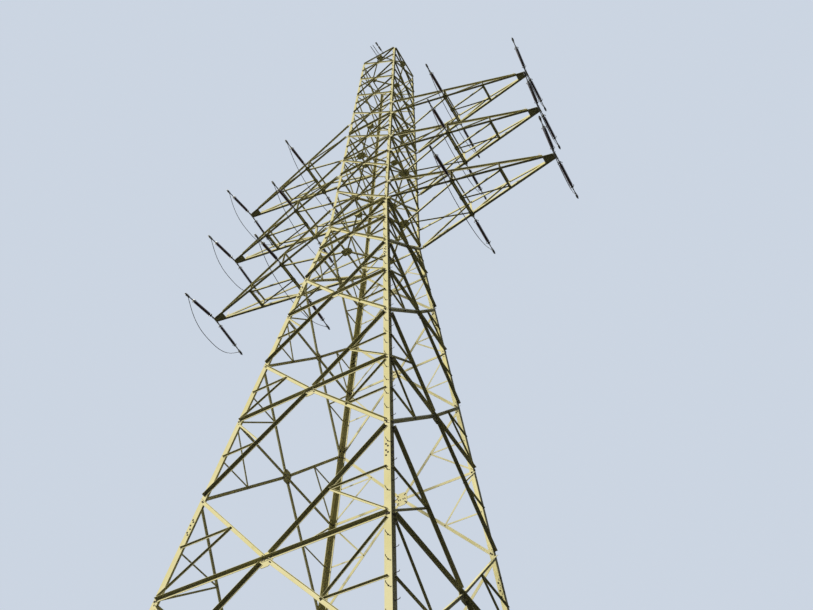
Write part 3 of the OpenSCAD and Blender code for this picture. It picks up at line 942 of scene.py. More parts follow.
@dataclass
class BodySide(TowerSide):
    """The bolts of one side of the body, and the stiffeners of its upper panels.

    The fields that end in `bolts` are distances along a bar from the leg's bolt line, or from
    the middle of the strut.
    """

    node_step: float = 46.0
    arm_node_step: float = 92.0
    foot_step: float = 90.0
    strut_end_bolts: Pair = (-14.0, 16.0)
    strut_mid_bolts: Pair = (26.0, 58.0)
    strut_line: float = 4.0
    diagonal_end_bolts: Pair = (12.0, 42.0)
    diagonal_mid_bolts: Pair = (88.0, 111.0)
    stiffener_end_bolts: tuple[float, ...] = (14.0,)
    stiffener_step: float = 58.0
    stiffener_lifts: Pair = (0.3, 0.7)
    solid_stiffeners: int = 3

    def panel(self, shape: Shape, low: float, high: float, steps: Pair, bars: Shape | None) -> None:
        """Draws the bolts of one panel.

        Args:
            shape: The piece that the bolts are added to.
            low: The height of the panel's lower boundary.
            high: The height of its upper boundary.
            steps: The distances of the corners from the two boundaries.
            bars: The piece that stiffeners are added to, or None where the solids have them.
        """
        plan, plane = self.plan, self.plane
        inset = plan.low_leg_flange / 2
        strut_z = high - plan.strut_share * (high - low)
        mid = Vector((0, plane.up(strut_z), 0))
        drop = Vector((0, self.strut_line, 0))
        top = plan.seat + plan.body_bar_t
        on_leg = (top, top + plan.low_leg_t)
        on_plate = (top, top + plan.gusset_t - (0 if bars is None else plan.weld))
        for hand in (-1, 1):
            ends = (plane.leg_point(hand, strut_z, inset) - drop, mid - drop)
            self.row(shape, BoltGrade.LEG, ends, self.strut_end_bolts, on_leg)
            self.row(shape, BoltGrade.BAR, ends[::-1], self.strut_mid_bolts, on_plate)
            for z, way in ((low + steps[0], -1), (high - steps[1], 1)):
                corner = plane.leg_point(hand, z, inset)
                self.row(shape, BoltGrade.LEG, (corner, mid), self.diagonal_end_bolts, on_leg)
                self.row(shape, BoltGrade.BAR, (mid, corner), self.diagonal_mid_bolts, on_plate)
                half = mix(corner, mid, 0.5)
                heights = ((z + strut_z) / 2, strut_z + way * self.stiffener_step)
                feet = [plane.leg_point(hand, height, inset) for height in heights]
                self.stiffener_bolts(shape, half, feet)
                if bars is not None:
                    self.stiffeners(bars, half, feet)

    def stiffener_bolts(self, shape: Shape, half: Vector, feet: Sequence[Vector]) -> None:
        """Draws the bolts of the two stiffeners of a quarter of a panel.

        Args:
            shape: The piece that the bolts are added to.
            half: The point on the half diagonal at which both meet.
            feet: The points on the leg at which they end.
        """
        plan = self.plan
        top = plan.seat + max(self.stiffener_lifts) + plan.stiffener_t
        for foot in feet:
            on_leg = (top, top + plan.low_leg_t)
            self.row(shape, BoltGrade.LIGHT, (foot, half), self.stiffener_end_bolts, on_leg)
        self.bolt(shape, BoltGrade.BAR, half, plan.seat + plan.body_bar_t, plan.body_bar_t)

    def stiffeners(self, bars: Shape, half: Vector, feet: Sequence[Vector]) -> None:
        """Draws the two stiffeners of a quarter of a panel.

        Args:
            bars: The piece that the stiffeners are added to.
            half: The point on the half diagonal at which both meet.
            feet: The points on the leg at which they end.
        """
        plan, place = self.plan, self.plane.matrix
        for foot, lift in zip(feet, self.stiffener_lifts):
            bars.angle_bar(place, (half, foot), plan.stiffener_flange, plan.stiffener_t, plan.seat + lift)

    def build(self, finishes: Finishes) -> None:
        """Makes the side's bolts, and the stiffeners of its upper panels.

        Args:
            finishes: The tower's finishes.
        """
        shape = Shape(f"body_bolts_{self.side.word}")
        bars = Shape(f"upper_stiffeners_{self.side.word}")
        levels, step = self.plan.body_levels, self.node_step
        lows = [levels[0] + self.plan.cap_h + self.foot_step, *levels[1:-1]]
        steps = [(0, step), (step, step), (step, step), (step, step), (step, self.arm_node_step)]
        for n, (low, high, gaps) in enumerate(zip(lows, levels[1:], steps)):
            self.panel(shape, low, high, gaps, None if n < self.solid_stiffeners else bars)
        shape.build(finishes.bolts, Slot.PAINTED_STEEL)
        bars.build(finishes.paint, Slot.PAINTED_STEEL)


@dataclass
class CageSide(TowerSide):
    """The bolts of one side of the cage, from the waist to the top.

    The fields that end in `bolts` are distances along a bar from the leg's bolt line, or from
    the middle of the strut. An arm strut is its level and its middle bolts, and the steps are
    the distances of the diagonals' corners from the levels.
    """

    above_waist: bool = True
    spin_step: float = 41.0
    steps: tuple[float, ...] = (92, 34, 52, 92, 34, 34, 34, 40)
    strut_end_bolts: tuple[float, ...] = (10,)
    strut_mid_bolts: tuple[float, ...] = (18,)
    arm_struts: tuple[tuple[int, tuple[float, ...]], ...] = ((0, (18, 42)), (3, (18, 42)), (2, ()))
    strut_line: float = 3.0
    diagonal_end_bolts: tuple[float, ...] = (12,)
    diagonal_mid_bolts: tuple[float, ...] = (57,)
    top_strut_drop: float = 16.0
    plate_sink: float = 1.0

    def __post_init__(self) -> None:
        """Sets the plane, the leg's bolt line, and the height and grip of bolts on leg and plate."""
        super().__post_init__()
        plan = self.plan
        self.inset = plan.high_leg_flange / 2
        top = plan.seat + plan.cage_bar_t
        self.on_leg = (top, top + plan.high_leg_t)
        self.on_plate = (top, plan.cage_bar_t + plan.gusset_t - self.plate_sink)

    def strut(self, shape: Shape, z: float, mid_bolts: Sequence[float]) -> None:
        """Draws the bolts of a strut.

        Args:
            shape: The piece that the bolts are added to.
            z: The strut's height.
            mid_bolts: The distances of the bolts from the strut's middle.
        """
        drop = Vector((0, self.strut_line, 0))
        mid = Vector((0, self.plane.up(z), 0)) - drop
        for hand in (-1, 1):
            end = self.plane.leg_point(hand, z, self.inset) - drop
            self.row(shape, BoltGrade.BAR, (end, mid), self.strut_end_bolts, self.on_leg)
            self.row(shape, BoltGrade.LIGHT, (mid, end), mid_bolts, self.on_plate)

    def bay(self, shape: Shape, n: int) -> None:
        """Draws the bolts of the strut and the diagonals of a bay.

        Args:
            shape: The piece that the bolts are added to.
            n: The number of the bay, from the waist up.
        """
        low, high = self.plan.cage_levels[n : n + 2]
        strut_z = (low + high) / 2
        mid = Vector((0, self.plane.up(strut_z), 0))
        self.strut(shape, strut_z, self.strut_mid_bolts)
        for hand in (-1, 1):
            for z in (low + self.steps[n], high - self.steps[n + 1]):
                corner = self.plane.leg_point(hand, z, self.inset)
                self.row(shape, BoltGrade.BAR, (corner, mid), self.diagonal_end_bolts, self.on_leg)
                self.row(shape, BoltGrade.LIGHT, (mid, corner), self.diagonal_mid_bolts, self.on_plate)

    def build(self, finishes: Finishes) -> None:
        """Makes the side's bolts as one piece.

        Args:
            finishes: The tower's finishes.
        """
        shape = Shape(f"cage_bolts_{self.side.word}")
        levels = self.plan.cage_levels
        for n in range(len(levels) - 1):
            self.bay(shape, n)
        for level, mid_bolts in self.arm_struts:
            self.strut(shape, levels[level], mid_bolts)
        self.strut(shape, self.plan.pylon_h - self.top_strut_drop, self.strut_mid_bolts)
        shape.build(finishes.bolts, Slot.PAINTED_STEEL)


@dataclass
class Leg:
    """The splices, anchor bolts and step bolts of one leg.

    A splice drop is a panel boundary and the splice's distance below it. A step run is its
    first height, the pitch on one face, its last height and the face that it starts on. The
    stepped hole is the boundary, face and bolt of the splice hole that holds a step bolt, and
    the path of a step bolt is pairs of its rise and its distance from the face.
    """

    plan: TowerPlan
    corner: Corner
    has_steps: bool
    splice_l: float = 330.0
    splice_drops: tuple[tuple[int, float], ...] = ((2, 505.0), (4, 380.0))
    splice_bolts: tuple[float, ...] = (134.0, 86.0, 37.0, -37.0, -86.0, -134.0)
    splice_insets: Pair = (35.0, 61.0)
    splice_spin_step: float = 23.0
    cover_insets: Pair = (17.0, 84.0)
    cover_t: float = 6.0
    cover_gap: float = 0.3
    anchor_half: float = 88.0
    anchor_nut: Bolt = Bolt(across=30.0, head_h=14.0, washer_t=2.5)
    anchor_outline: tuple[Pair, ...] = ((14, 8.5), (34, 8.5), (36, 7))
    stepped_hole: tuple[int, int, int] = (2, 0, 0)
    step_runs: tuple[tuple[float, float, float, int], ...] = (
        (2980.0, 366.0, 8850.0, 0),
        (9242.0, 328.0, 14700.0, 1),
        (14796.0, 326.0, 25450.0, 0),
    )
    step_clear: float = 30.0
    step_path: tuple[Pair, ...] = ((0, -10), (0, 54), (5, 58), (15, 59))
    step_d: float = 8.0
    step_head_h: float = 6.0
    cage_node_step: float = 60.0

    def planes(self, above_waist: bool) -> list[tuple[SidePlane, int]]:
        """Returns the planes of the leg's two faces below or above the waist, and its hand in them."""
        return [(SidePlane(self.plan, side, above_waist), hand) for side, hand in LEG_FACES[self.corner]]

    def splice_middle(self, level: int) -> float:
        """Returns the height of the middle of the splice below a panel boundary."""
        return self.plan.body_levels[level] - dict(self.splice_drops)[level]

    def splices(self, plates: Shape, bolts: Shape) -> None:
        """Draws the inner cover plates and the staggered bolts of the leg's joints.

        Args:
            plates: The piece that the plates are added to.
            bolts: The piece that the bolts are added to.
        """
        inner = -self.plan.low_leg_t - self.cover_gap
        near, far = self.cover_insets
        grip = self.cover_t + self.cover_gap + self.plan.low_leg_t
        for level, _ in self.splice_drops:
            middle = self.splice_middle(level)
            low, high = middle - self.splice_l / 2, middle + self.splice_l / 2
            corners = ((low, near), (high, near), (high, far), (low, far))
            for face, (plane, hand) in enumerate(self.planes(False)):
                outline = [plane.leg_point(hand, z, inset).to_2d() for z, inset in corners][::-hand]
                plates.plate(plane.matrix, outline, inner - self.cover_t, inner)
                for n, rise in enumerate(self.splice_bolts):
                    if self.has_steps and (level, face, n) == self.stepped_hole:
                        continue
                    spot = plane.leg_point(hand, middle + rise, self.splice_insets[n % 2])
                    place = plane.matrix @ move(spot.x, spot.y)
                    BoltGrade.LEG.draw(bolts, place, grip, self.splice_spin_step * n)

    def anchors(self, bolts: Shape) -> None:
        """Draws the anchor rods and nuts on the base plate.

        Args:
            bolts: The piece that they are added to.
        """
        plan = self.plan
        r = plan.half_at(plan.cap_h) - plan.foot_plate_w / 2 + plan.low_leg_t
        top = plan.cap_h + plan.foot_plate_t
        for x, y in ((-1, -1), (1, -1), (-1, 1)):
            spot = move(r + x * self.anchor_half, r + y * self.anchor_half, top)
            place = turn(self.corner.value, "Z") @ spot
            self.anchor_nut.hexagon(bolts, place, self.anchor_nut.head_h)
            bolts.turned(place, self.anchor_outline, sides=10)

    def joint_heights(self) -> list[float]:
        """Finds where other bolts leave no room for steps.

        Returns:
            The heights of the splices' bolts and of the joints above the waist.
        """
        cage = self.plan.cage_levels
        heights = []
        for level, _ in self.splice_drops:
            heights += [self.splice_middle(level) + rise for rise in self.splice_bolts]
        for low, high in zip(cage[:-1], cage[1:]):
            heights += [low, low + self.cage_node_step, (low + high) / 2, high - self.cage_node_step]
        for pair in self.plan.chord_levels:
            heights += pair
        return heights

    def steps(self, shape: Shape) -> None:
        """Draws the step bolts, turn by turn on the two faces, and the one in a splice's hole.

        Args:
            shape: The piece that they are added to.
        """
        plan = self.plan
        joints = self.joint_heights()
        for first, pitch, last, face in self.step_runs:
            for n in range(int((last - first) / pitch * 2)):
                z = first + n * pitch / 2
                flange = plan.high_leg_flange if z > plan.waist_z else plan.low_leg_flange
                if all(abs(z - joint) >= self.step_clear for joint in joints):
                    self.step(shape, (n + face) % 2, z, flange / 2)
        level, face, n = self.stepped_hole
        self.step(shape, face, self.splice_middle(level) + self.splice_bolts[n], self.splice_insets[n % 2])

    def step(self, shape: Shape, face: int, z: float, inset: float) -> None:
        """Draws one step bolt.

        Args:
            shape: The piece that the step bolt is added to.
            face: 0 or 1 for the leg's two faces.
            z: The height above the ground.
            inset: The distance from the leg's outer corner.
        """
        above = z > self.plan.waist_z
        plane, hand = self.planes(above)[face]
        spot = plane.leg_point(hand, z, inset)
        place = plane.matrix @ move(spot.x, spot.y)
        shape.rod(place, [Vector((0, rise, out)) for rise, out in self.step_path], self.step_d)
        under = -self.plan.high_leg_t if above else -self.plan.low_leg_t
        nut: Bolt = BoltGrade.BAR.value
        nut.hexagon(shape, place, self.step_head_h)
        nut.hexagon(shape, place @ move(z=under) @ UPSIDE_DOWN, self.step_head_h)

    def build(self, finishes: Finishes) -> None:
        """Makes the leg's plates, bolts and steps.

        Args:
            finishes: The tower's finishes.
        """
        plates = Shape(f"splice_plates_{self.corner.word}")
        bolts = Shape(f"leg_bolts_{self.corner.word}")
        self.splices(plates, bolts)
        self.anchors(bolts)
        plates.build(finishes.paint, Slot.PAINTED_STEEL)
        bolts.build(finishes.bolts, Slot.PAINTED_STEEL)
        if self.has_steps:
            steps = Shape(f"step_bolts_{self.corner.word}")
            self.steps(steps)
            steps.build(finishes.bolts, Slot.PAINTED_STEEL)


@dataclass(frozen=True)
class StringLine:
    """One insulator string: the edge point that carries it and the way it points."""

    start: Point
    way: int
    swing: float
    droop: float
    mirror: Matrix

    @property
    def matrix(self) -> Matrix:
        """Returns the matrix from the string's own frame, with x along it."""
        aim = turn(self.way * (90 - self.swing), "Z") @ turn(self.droop, "Y")
        return self.mirror @ Matrix.Translation(self.start) @ aim


@dataclass(frozen=True)
class BoltGroup:
    """Bolts at offsets from a point of an arm or a plate, with their heads at a height over it."""

    offsets: tuple[Pair, ...]
    height: float
    grip: float
    spin_step: float


@dataclass
class Arm:
    """One cross-arm: its bolts, and the dressing of its four insulator strings.

    The turned bodies and rod ends are pairs of length and radius, and a shed's lengths are
    shares of the pitch. The horn's bends are pairs of the share of its lean and the distance
    from the string, and the face bolts are pairs of a shift along the arm and a height.
    """

    plan: TowerPlan
    tier: Tier
    hand: Hand
    reaches: Point = (3785.0, 3880.0, 3975.0)
    crossbeam_share: float = 0.5
    light_beam_share: float = 0.735
    tip_drop: float = 185.0
    tip_half_w: float = 60.0
    tip_plate_l: float = 235.0
    root_gap: float = 58.0
    root_inset: float = 12.0
    beam_overhang: float = 67.0
    bottom_chord_flange: float = 48.0
    top_chord_flange: float = 40.0
    chord_t: float = 4.5
    main_node: BoltGroup = BoltGroup(
        ((-20, -36), (20, -36), (-37, 10), (37, 10), (-37, 32), (37, 32), (-20, 20), (20, 20)),
        height=-5.6,
        grip=10.0,
        spin_step=31.0,
    )
    light_node: BoltGroup = BoltGroup(((-13, -16), (11, -16)), 0.6, 3.5, 17.0)
    tip_row: BoltGroup = BoltGroup(((52, 12), (96, 12), (140, 12), (188, 12)), -4.8, 9.3, 29.0)
    middle_node: BoltGroup = BoltGroup(((-20, -38), (-20, 38), (20, -38), (20, 38)), -5.6, 9.0, 19.0)
    main_face_bolts: tuple[Pair, ...] = ((-27, 20), (-27, 40), (27, 20), (27, 40), (5, 70), (5, 98))
    main_head_bolts: tuple[Pair, ...] = ((5, 52), (-25, 20), (25, 20))
    light_face_bolts: tuple[Pair, ...] = ((-16, 24), (16, 24), (3, 56))
    face_out: float = 4.8
    face_grip: float = 11.5
    face_spin_step: float = 23.0
    root_leg: BoltGroup = BoltGroup(((-40, -17), (-40, 17), (-16, -17), (-16, 17)), 6.5, 14.0, 13.0)
    root_chord: BoltGroup = BoltGroup(((72, 20), (94, 20)), 6.5, 23.5, 13.0)
    front_droop: float = 13.0
    back_droop: float = 6.0
    line_turn: float = 2.6
    tip_spread: float = 2.8
    tip_lug: float = 6.0
    rod_l: float = 530.0
    rod_gap: float = 0.3
    rod_end_l: float = 22.0
    rod_end: tuple[Pair, ...] = ((0.0, 18.24), (14.0, 19.0))
    shed: tuple[Pair, ...] = (
        (0.18, 19.0), (0.34, 23.0), (0.56, 33.5), (0.64, 35.0), (0.72, 33.8), (0.80, 21.5)
    )
    shed_count: int = 21
    link_l: float = 90.0
    cap_l: float = 34.0
    far_link_l: float = 110.0
    clamp_l: float = 130.0
    clamp_outline: tuple[Pair, ...] = ((46, 13), (56, 19), (76, 22), (112, 22), (124, 19), (130, 14))
    nose_outline: tuple[Pair, ...] = ((-4, 12), (16, 11), (24, 8))
    keeper_xs: tuple[float, ...] = (48, 72, 96, 120)
    keeper_half: Point = (6, 15, 25)
    link_pin: Bolt = Bolt(across=16.0, head_h=7.0)
    link_pin_at: Point = (17, -10, -1)
    link_pin_grip: float = 20.0
    cross_pin: tuple[Pair, ...] = ((-14, 7), (14, 7))
    near_pin_back: float = 30.0
    far_pin_out: float = 40.0
    horn_bends: tuple[Pair, ...] = ((0.0, 16), (0.0, 27), (0.4, 38), (1.0, 41))
    horn_d: float = 7.0
    horn_lean: float = 26.0
    horn_inset: float = 12.0
    horn_collar: tuple[Pair, ...] = ((-6, 27.5), (6, 27.5))
    horn_knob: tuple[Pair, ...] = ((-12, 4), (-8, 9), (8, 9), (12, 4))
    plate_backs: ClassVar[dict[Hand, float]] = {Hand.RIGHT: 283.0, Hand.LEFT: 250.0}
    plate_out: float = 0.4
    plate: Box = ((-23, -26, 0), (23, 128, 3))
    plate_bolts: BoltGroup = BoltGroup(((-12, -15), (12, -15)), 3.0, 8.0, 20.0)

    @property
    def word(self) -> str:
        """Returns the arm's name in node names."""
        return f"{self.tier.word}_{self.hand.word}"

    @property
    def reach(self) -> float:
        """Returns the distance of the tip from the tower's axis."""
        return self.reaches[self.tier.value]

    @property
    def main_x(self) -> float:
        """Returns the distance of the main crossbeam from the tower's axis."""
        return self.reach * self.crossbeam_share

    @property
    def light_x(self) -> float:
        """Returns the distance of the light crossbeam from the tower's axis."""
        return self.reach * self.light_beam_share

    @property
    def rod_x(self) -> float:
        """Returns the distance of the rod's near end from the arm's plate."""
        return self.link_l + self.cap_l + self.rod_gap

    @property
    def far_x(self) -> float:
        """Returns the distance of the rod's far end from the arm's plate."""
        return self.rod_x + self.rod_l + self.rod_gap

    @property
    def clamp_x(self) -> float:
        """Returns the distance of the clamp from the arm's plate."""
        return self.far_x + self.cap_l + self.far_link_l

    @property
    def low_z(self) -> float:
        """Returns the height of the bottom chords' roots."""
        return self.plan.chord_levels[self.tier.value][0]

    @property
    def root_x(self) -> float:
        """Returns the distance of the bottom chords' roots from the tower's axis."""
        return self.plan.half_at(self.low_z) + self.root_gap

    def share_at(self, x: float) -> float:
        """Returns the share of the way from the roots to the tip at the distance x from the axis."""
        return (x - self.root_x) / (self.reach - self.root_x)

    def chord_y(self, x: float) -> float:
        """Finds the half width across the bottom chords' upright faces.

        Args:
            x: The distance from the tower's axis.

        Returns:
            The half width.
        """
        root = self.plan.half_at(self.low_z) - self.root_inset
        tip = self.tip_half_w + self.chord_t - self.bottom_chord_flange
        return root + (tip - root) * self.share_at(x)

    def level_at(self, x: float) -> float:
        """Returns the height of the bottom plane at the distance x from the axis."""
        return self.low_z - self.tip_drop * self.share_at(x)

    def top_level_at(self, x: float) -> float:
        """Finds the height of the top chords' upper edge.

        Args:
            x: The distance from the tower's axis.

        Returns:
            The height above the ground.
        """
        high = self.plan.chord_levels[self.tier.value][1]
        root_x = self.plan.half_at(high) + self.root_gap
        end_x = self.reach - self.tip_plate_l
        end_z = self.level_at(end_x) + self.bottom_chord_flange + self.top_chord_flange / 2
        return high + (end_z - high) * (x - root_x) / (end_x - root_x)

    def face_place(self, x: float, hand: int, height: float, out: float) -> Matrix:
        """Finds a point on an upright side of the arm.

        Args:
            x: The distance from the tower's axis.
            hand: 1 for the side at +Y and -1 for the one at -Y.
            height: The height above the bottom chord's lower face.
            out: The distance outwards from the chords' upright faces.

        Returns:
            The matrix of the point, with z outwards.
        """
        slope = math.degrees(math.atan(self.chord_y(x + 1) - self.chord_y(x)))
        y = self.chord_y(x) - height * self.plan.cage_slope + out
        spot = move(x, hand * y, self.level_at(x) + height)
        return self.hand.mirror @ spot @ turn(hand * slope, "Z") @ turn(-90 * hand, "X")

    def plan_place(self, x: float, y: float, height: float) -> Matrix:
        """Finds a point over the arm's bottom plane.

        Args:
            x: The distance from the tower's axis.
            y: The distance from the arm's middle line.
            height: The height over the plane.

        Returns:
            The matrix of the point, with z upwards.
        """
        root = self.root_x
        tilt = math.degrees(math.atan(self.tip_drop / (self.reach - root)))
        along = (x - root) / math.cos(math.radians(tilt))
        return self.hand.mirror @ move(root, 0, self.low_z) @ turn(tilt, "Y") @ move(along, y, height)

    def strings(self) -> list[StringLine]:
        """Finds the arm's four strings.

        Returns:
            The strings at the tip and at the main crossbeam, each pair from the front.
        """
        tip_x = self.reach + self.tip_lug
        main_x, half_w = self.main_x, self.tip_half_w
        beam_y = self.chord_y(main_x) + self.beam_overhang
        spread = self.hand.value * self.line_turn
        tip_z, beam_z = self.level_at(tip_x), self.level_at(main_x)
        ends = (
            ((tip_x, -half_w, tip_z), -1, spread + self.tip_spread, self.front_droop),
            ((tip_x, half_w, tip_z), 1, 0.0, self.back_droop),
            ((main_x, -beam_y, beam_z), -1, spread, self.front_droop),
            ((main_x, beam_y, beam_z), 1, 0.0, self.back_droop),
        )
        return [StringLine(*end, self.hand.mirror) for end in ends]

    def rods(self, finishes: Finishes) -> None:
        """Makes the four porcelain rods with all their sheds, in place of the plain ones.

        Args:
            finishes: The tower's finishes.
        """
        shape = Shape(f"porcelain_rods_{self.word}")
        pitch = (self.rod_l - 2 * self.rod_end_l) / self.shed_count
        outline = list(self.rod_end)
        for n in range(self.shed_count):
            foot = self.rod_end_l + n * pitch
            outline += [(foot + pitch * share, r) for share, r in self.shed]
        outline += [(self.rod_l - z, r) for z, r in reversed(self.rod_end)]
        for line in self.strings():
            shape.turned(line.matrix @ move(self.rod_x) @ ALONG_X, outline, sides=18, smooth=True)
        piece = shape.build(finishes.porcelain, Slot.PORCELAIN)
        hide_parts(f"insulators_{self.word}")

    def horns(self, shape: Shape, place: Matrix, lean: float) -> None:
        """Draws a pair of arcing horns with knobs beside an end cap.

        Args:
            shape: The piece that the horns are added to.
            place: The matrix of the cap's middle, with x along the string.
            lean: The shift of the knobs along the string.
        """
        for hand in (-1, 1):
            path = [Vector((lean * share, hand * out, 0)) for share, out in self.horn_bends]
            shape.rod(place, path, self.horn_d, sides=6)
            knob = place @ Matrix.Translation(path[-1]) @ ALONG_X
            shape.turned(knob, self.horn_knob, sides=8, smooth=True)
        shape.turned(place @ ALONG_X, self.horn_collar, sides=12)

    def metalwork(self, finishes: Finishes) -> None:
        """Makes the pins, horns, clamp bodies and clamp bolts of the four strings.

        Args:
            finishes: The tower's finishes.
        """
        shape = Shape(f"string_metalwork_{self.word}")
        horns = Shape(f"arcing_horns_{self.word}")
        far_cap = self.far_x + self.cap_l
        for line in self.strings():
            place = line.matrix
            self.horns(horns, place @ move(self.link_l + self.horn_inset), self.horn_lean)
            self.horns(horns, place @ move(far_cap - self.horn_inset), -self.horn_lean)
            clamp = place @ move(self.clamp_x)
            shape.turned(clamp @ ALONG_X, self.clamp_outline, sides=14, smooth=True)
            pin = place @ move(*self.link_pin_at) @ turn(90, "X")
            self.link_pin.draw(shape, pin, self.link_pin_grip)
            for x in (self.link_l - self.near_pin_back, far_cap + self.far_pin_out):
                shape.turned(place @ move(x) @ turn(90, "X"), self.cross_pin, sides=8)
            for x in self.keeper_xs:
                keeper(shape, clamp @ move(x), self.keeper_half)
            shape.turned(clamp @ move(self.clamp_l) @ ALONG_X, self.nose_outline, sides=12)
        shape.build(finishes.casting, Slot.GALVANISED)
        horns.build(finishes.horns, Slot.GALVANISED)

    def under_bolt(self, shape: Shape, group: BoltGroup, x: float, y: float, turned_by: float) -> None:
        """Draws a bolt of a group below the bottom plane, its hexagon turned by a distance's steps."""
        place = self.plan_place(x, y, group.height) @ UPSIDE_DOWN
        BoltGrade.BAR.draw(shape, place, group.grip, group.spin_step * turned_by)

    def plan_bolts(self, shape: Shape, hand: int) -> None:
        """Draws the bolts of one chord's bottom flange.

        Args:
            shape: The piece that the bolts are added to.
            hand: 1 for the chord at +Y and -1 for the one at -Y.
        """
        for group, x in ((self.main_node, self.main_x), (self.light_node, self.light_x)):
            y = self.chord_y(x)
            for dx, dy in group.offsets:
                self.under_bolt(shape, group, x + dx, hand * (y + dy), dx)
        for back, dy in self.tip_row.offsets:
            x = self.reach - back
            self.under_bolt(shape, self.tip_row, x, hand * (self.chord_y(x) + dy), back)

    def face_bolts(self, shape: Shape, hand: int) -> None:
        """Draws the bolts of the gussets on one upright side.

        Args:
            shape: The piece that the bolts are added to.
            hand: 1 for the side at +Y and -1 for the one at -Y.
        """
        head = self.top_level_at(self.main_x) - self.level_at(self.main_x)
        spots = [(self.main_x + dx, rise) for dx, rise in self.main_face_bolts]
        spots += [(self.main_x + dx, head - drop) for dx, drop in self.main_head_bolts]
        spots += [(self.light_x + dx, rise) for dx, rise in self.light_face_bolts]
        for n, (x, height) in enumerate(spots):
            place = self.face_place(x, hand, height, self.face_out)
            BoltGrade.BAR.draw(shape, place, self.face_grip, self.face_spin_step * n)

    def root_bolts(self, shape: Shape, hand: int) -> None:
        """Draws the bolts of the two plates that hold one side of the arm on a leg.

        Args:
            shape: The piece that the bolts are added to.
            hand: 1 for the side at +Y and -1 for the one at -Y.
        """
        for level, toward in zip(self.plan.chord_levels[self.tier.value], (1, -1)):
            half = self.plan.half_at(level)
            for group in (self.root_leg, self.root_chord):
                for dx, dz in group.offsets:
                    spot = move(half + dx, hand * (half + group.height), level + dz * toward)
                    place = self.hand.mirror @ spot @ turn(-90 * hand, "X")
                    BoltGrade.BAR.draw(shape, place, group.grip, group.spin_step * dx)

    def bolts(self, finishes: Finishes) -> None:
        """Makes the arm's bolts.

        Args:
            finishes: The tower's finishes.
        """
        shape = Shape(f"arm_bolts_{self.word}")
        for hand in (-1, 1):
            self.plan_bolts(shape, hand)
            self.face_bolts(shape, hand)
            self.root_bolts(shape, hand)
        for dx, dy in self.middle_node.offsets:
            self.under_bolt(shape, self.middle_node, self.main_x + dx, dy, dy)
        shape.build(finishes.bolts, Slot.PAINTED_STEEL)

    def tip_plate(self, finishes: Finishes) -> None:
        """Makes the small white plate that stands on the top chord near the tip.

        Args:
            finishes: The tower's finishes.
        """
        shape = Shape(f"tip_plate_{self.word}")
        hand = -self.hand.value
        x = self.reach - self.plate_backs[self.hand]
        place = self.face_place(x, hand, self.top_level_at(x) - self.level_at(x), self.plate_out)
        if hand > 0:
            place = place @ turn(180, "Z")
        shape.block(place, *self.plate)
        group = self.plate_bolts
        for dx, dy in group.offsets:
            spot = place @ move(dx, dy, group.height)
            BoltGrade.LIGHT.draw(shape, spot, group.grip, group.spin_step * dx)
        shape.build(finishes.enamel, Slot.PAINTED_STEEL)

    def build(self, finishes: Finishes) -> None:
        """Makes all of the arm's dressing.

        Args:
            finishes: The tower's finishes.
        """
        self.rods(finishes)
        self.metalwork(finishes)
        self.bolts(finishes)
        self.tip_plate(finishes)


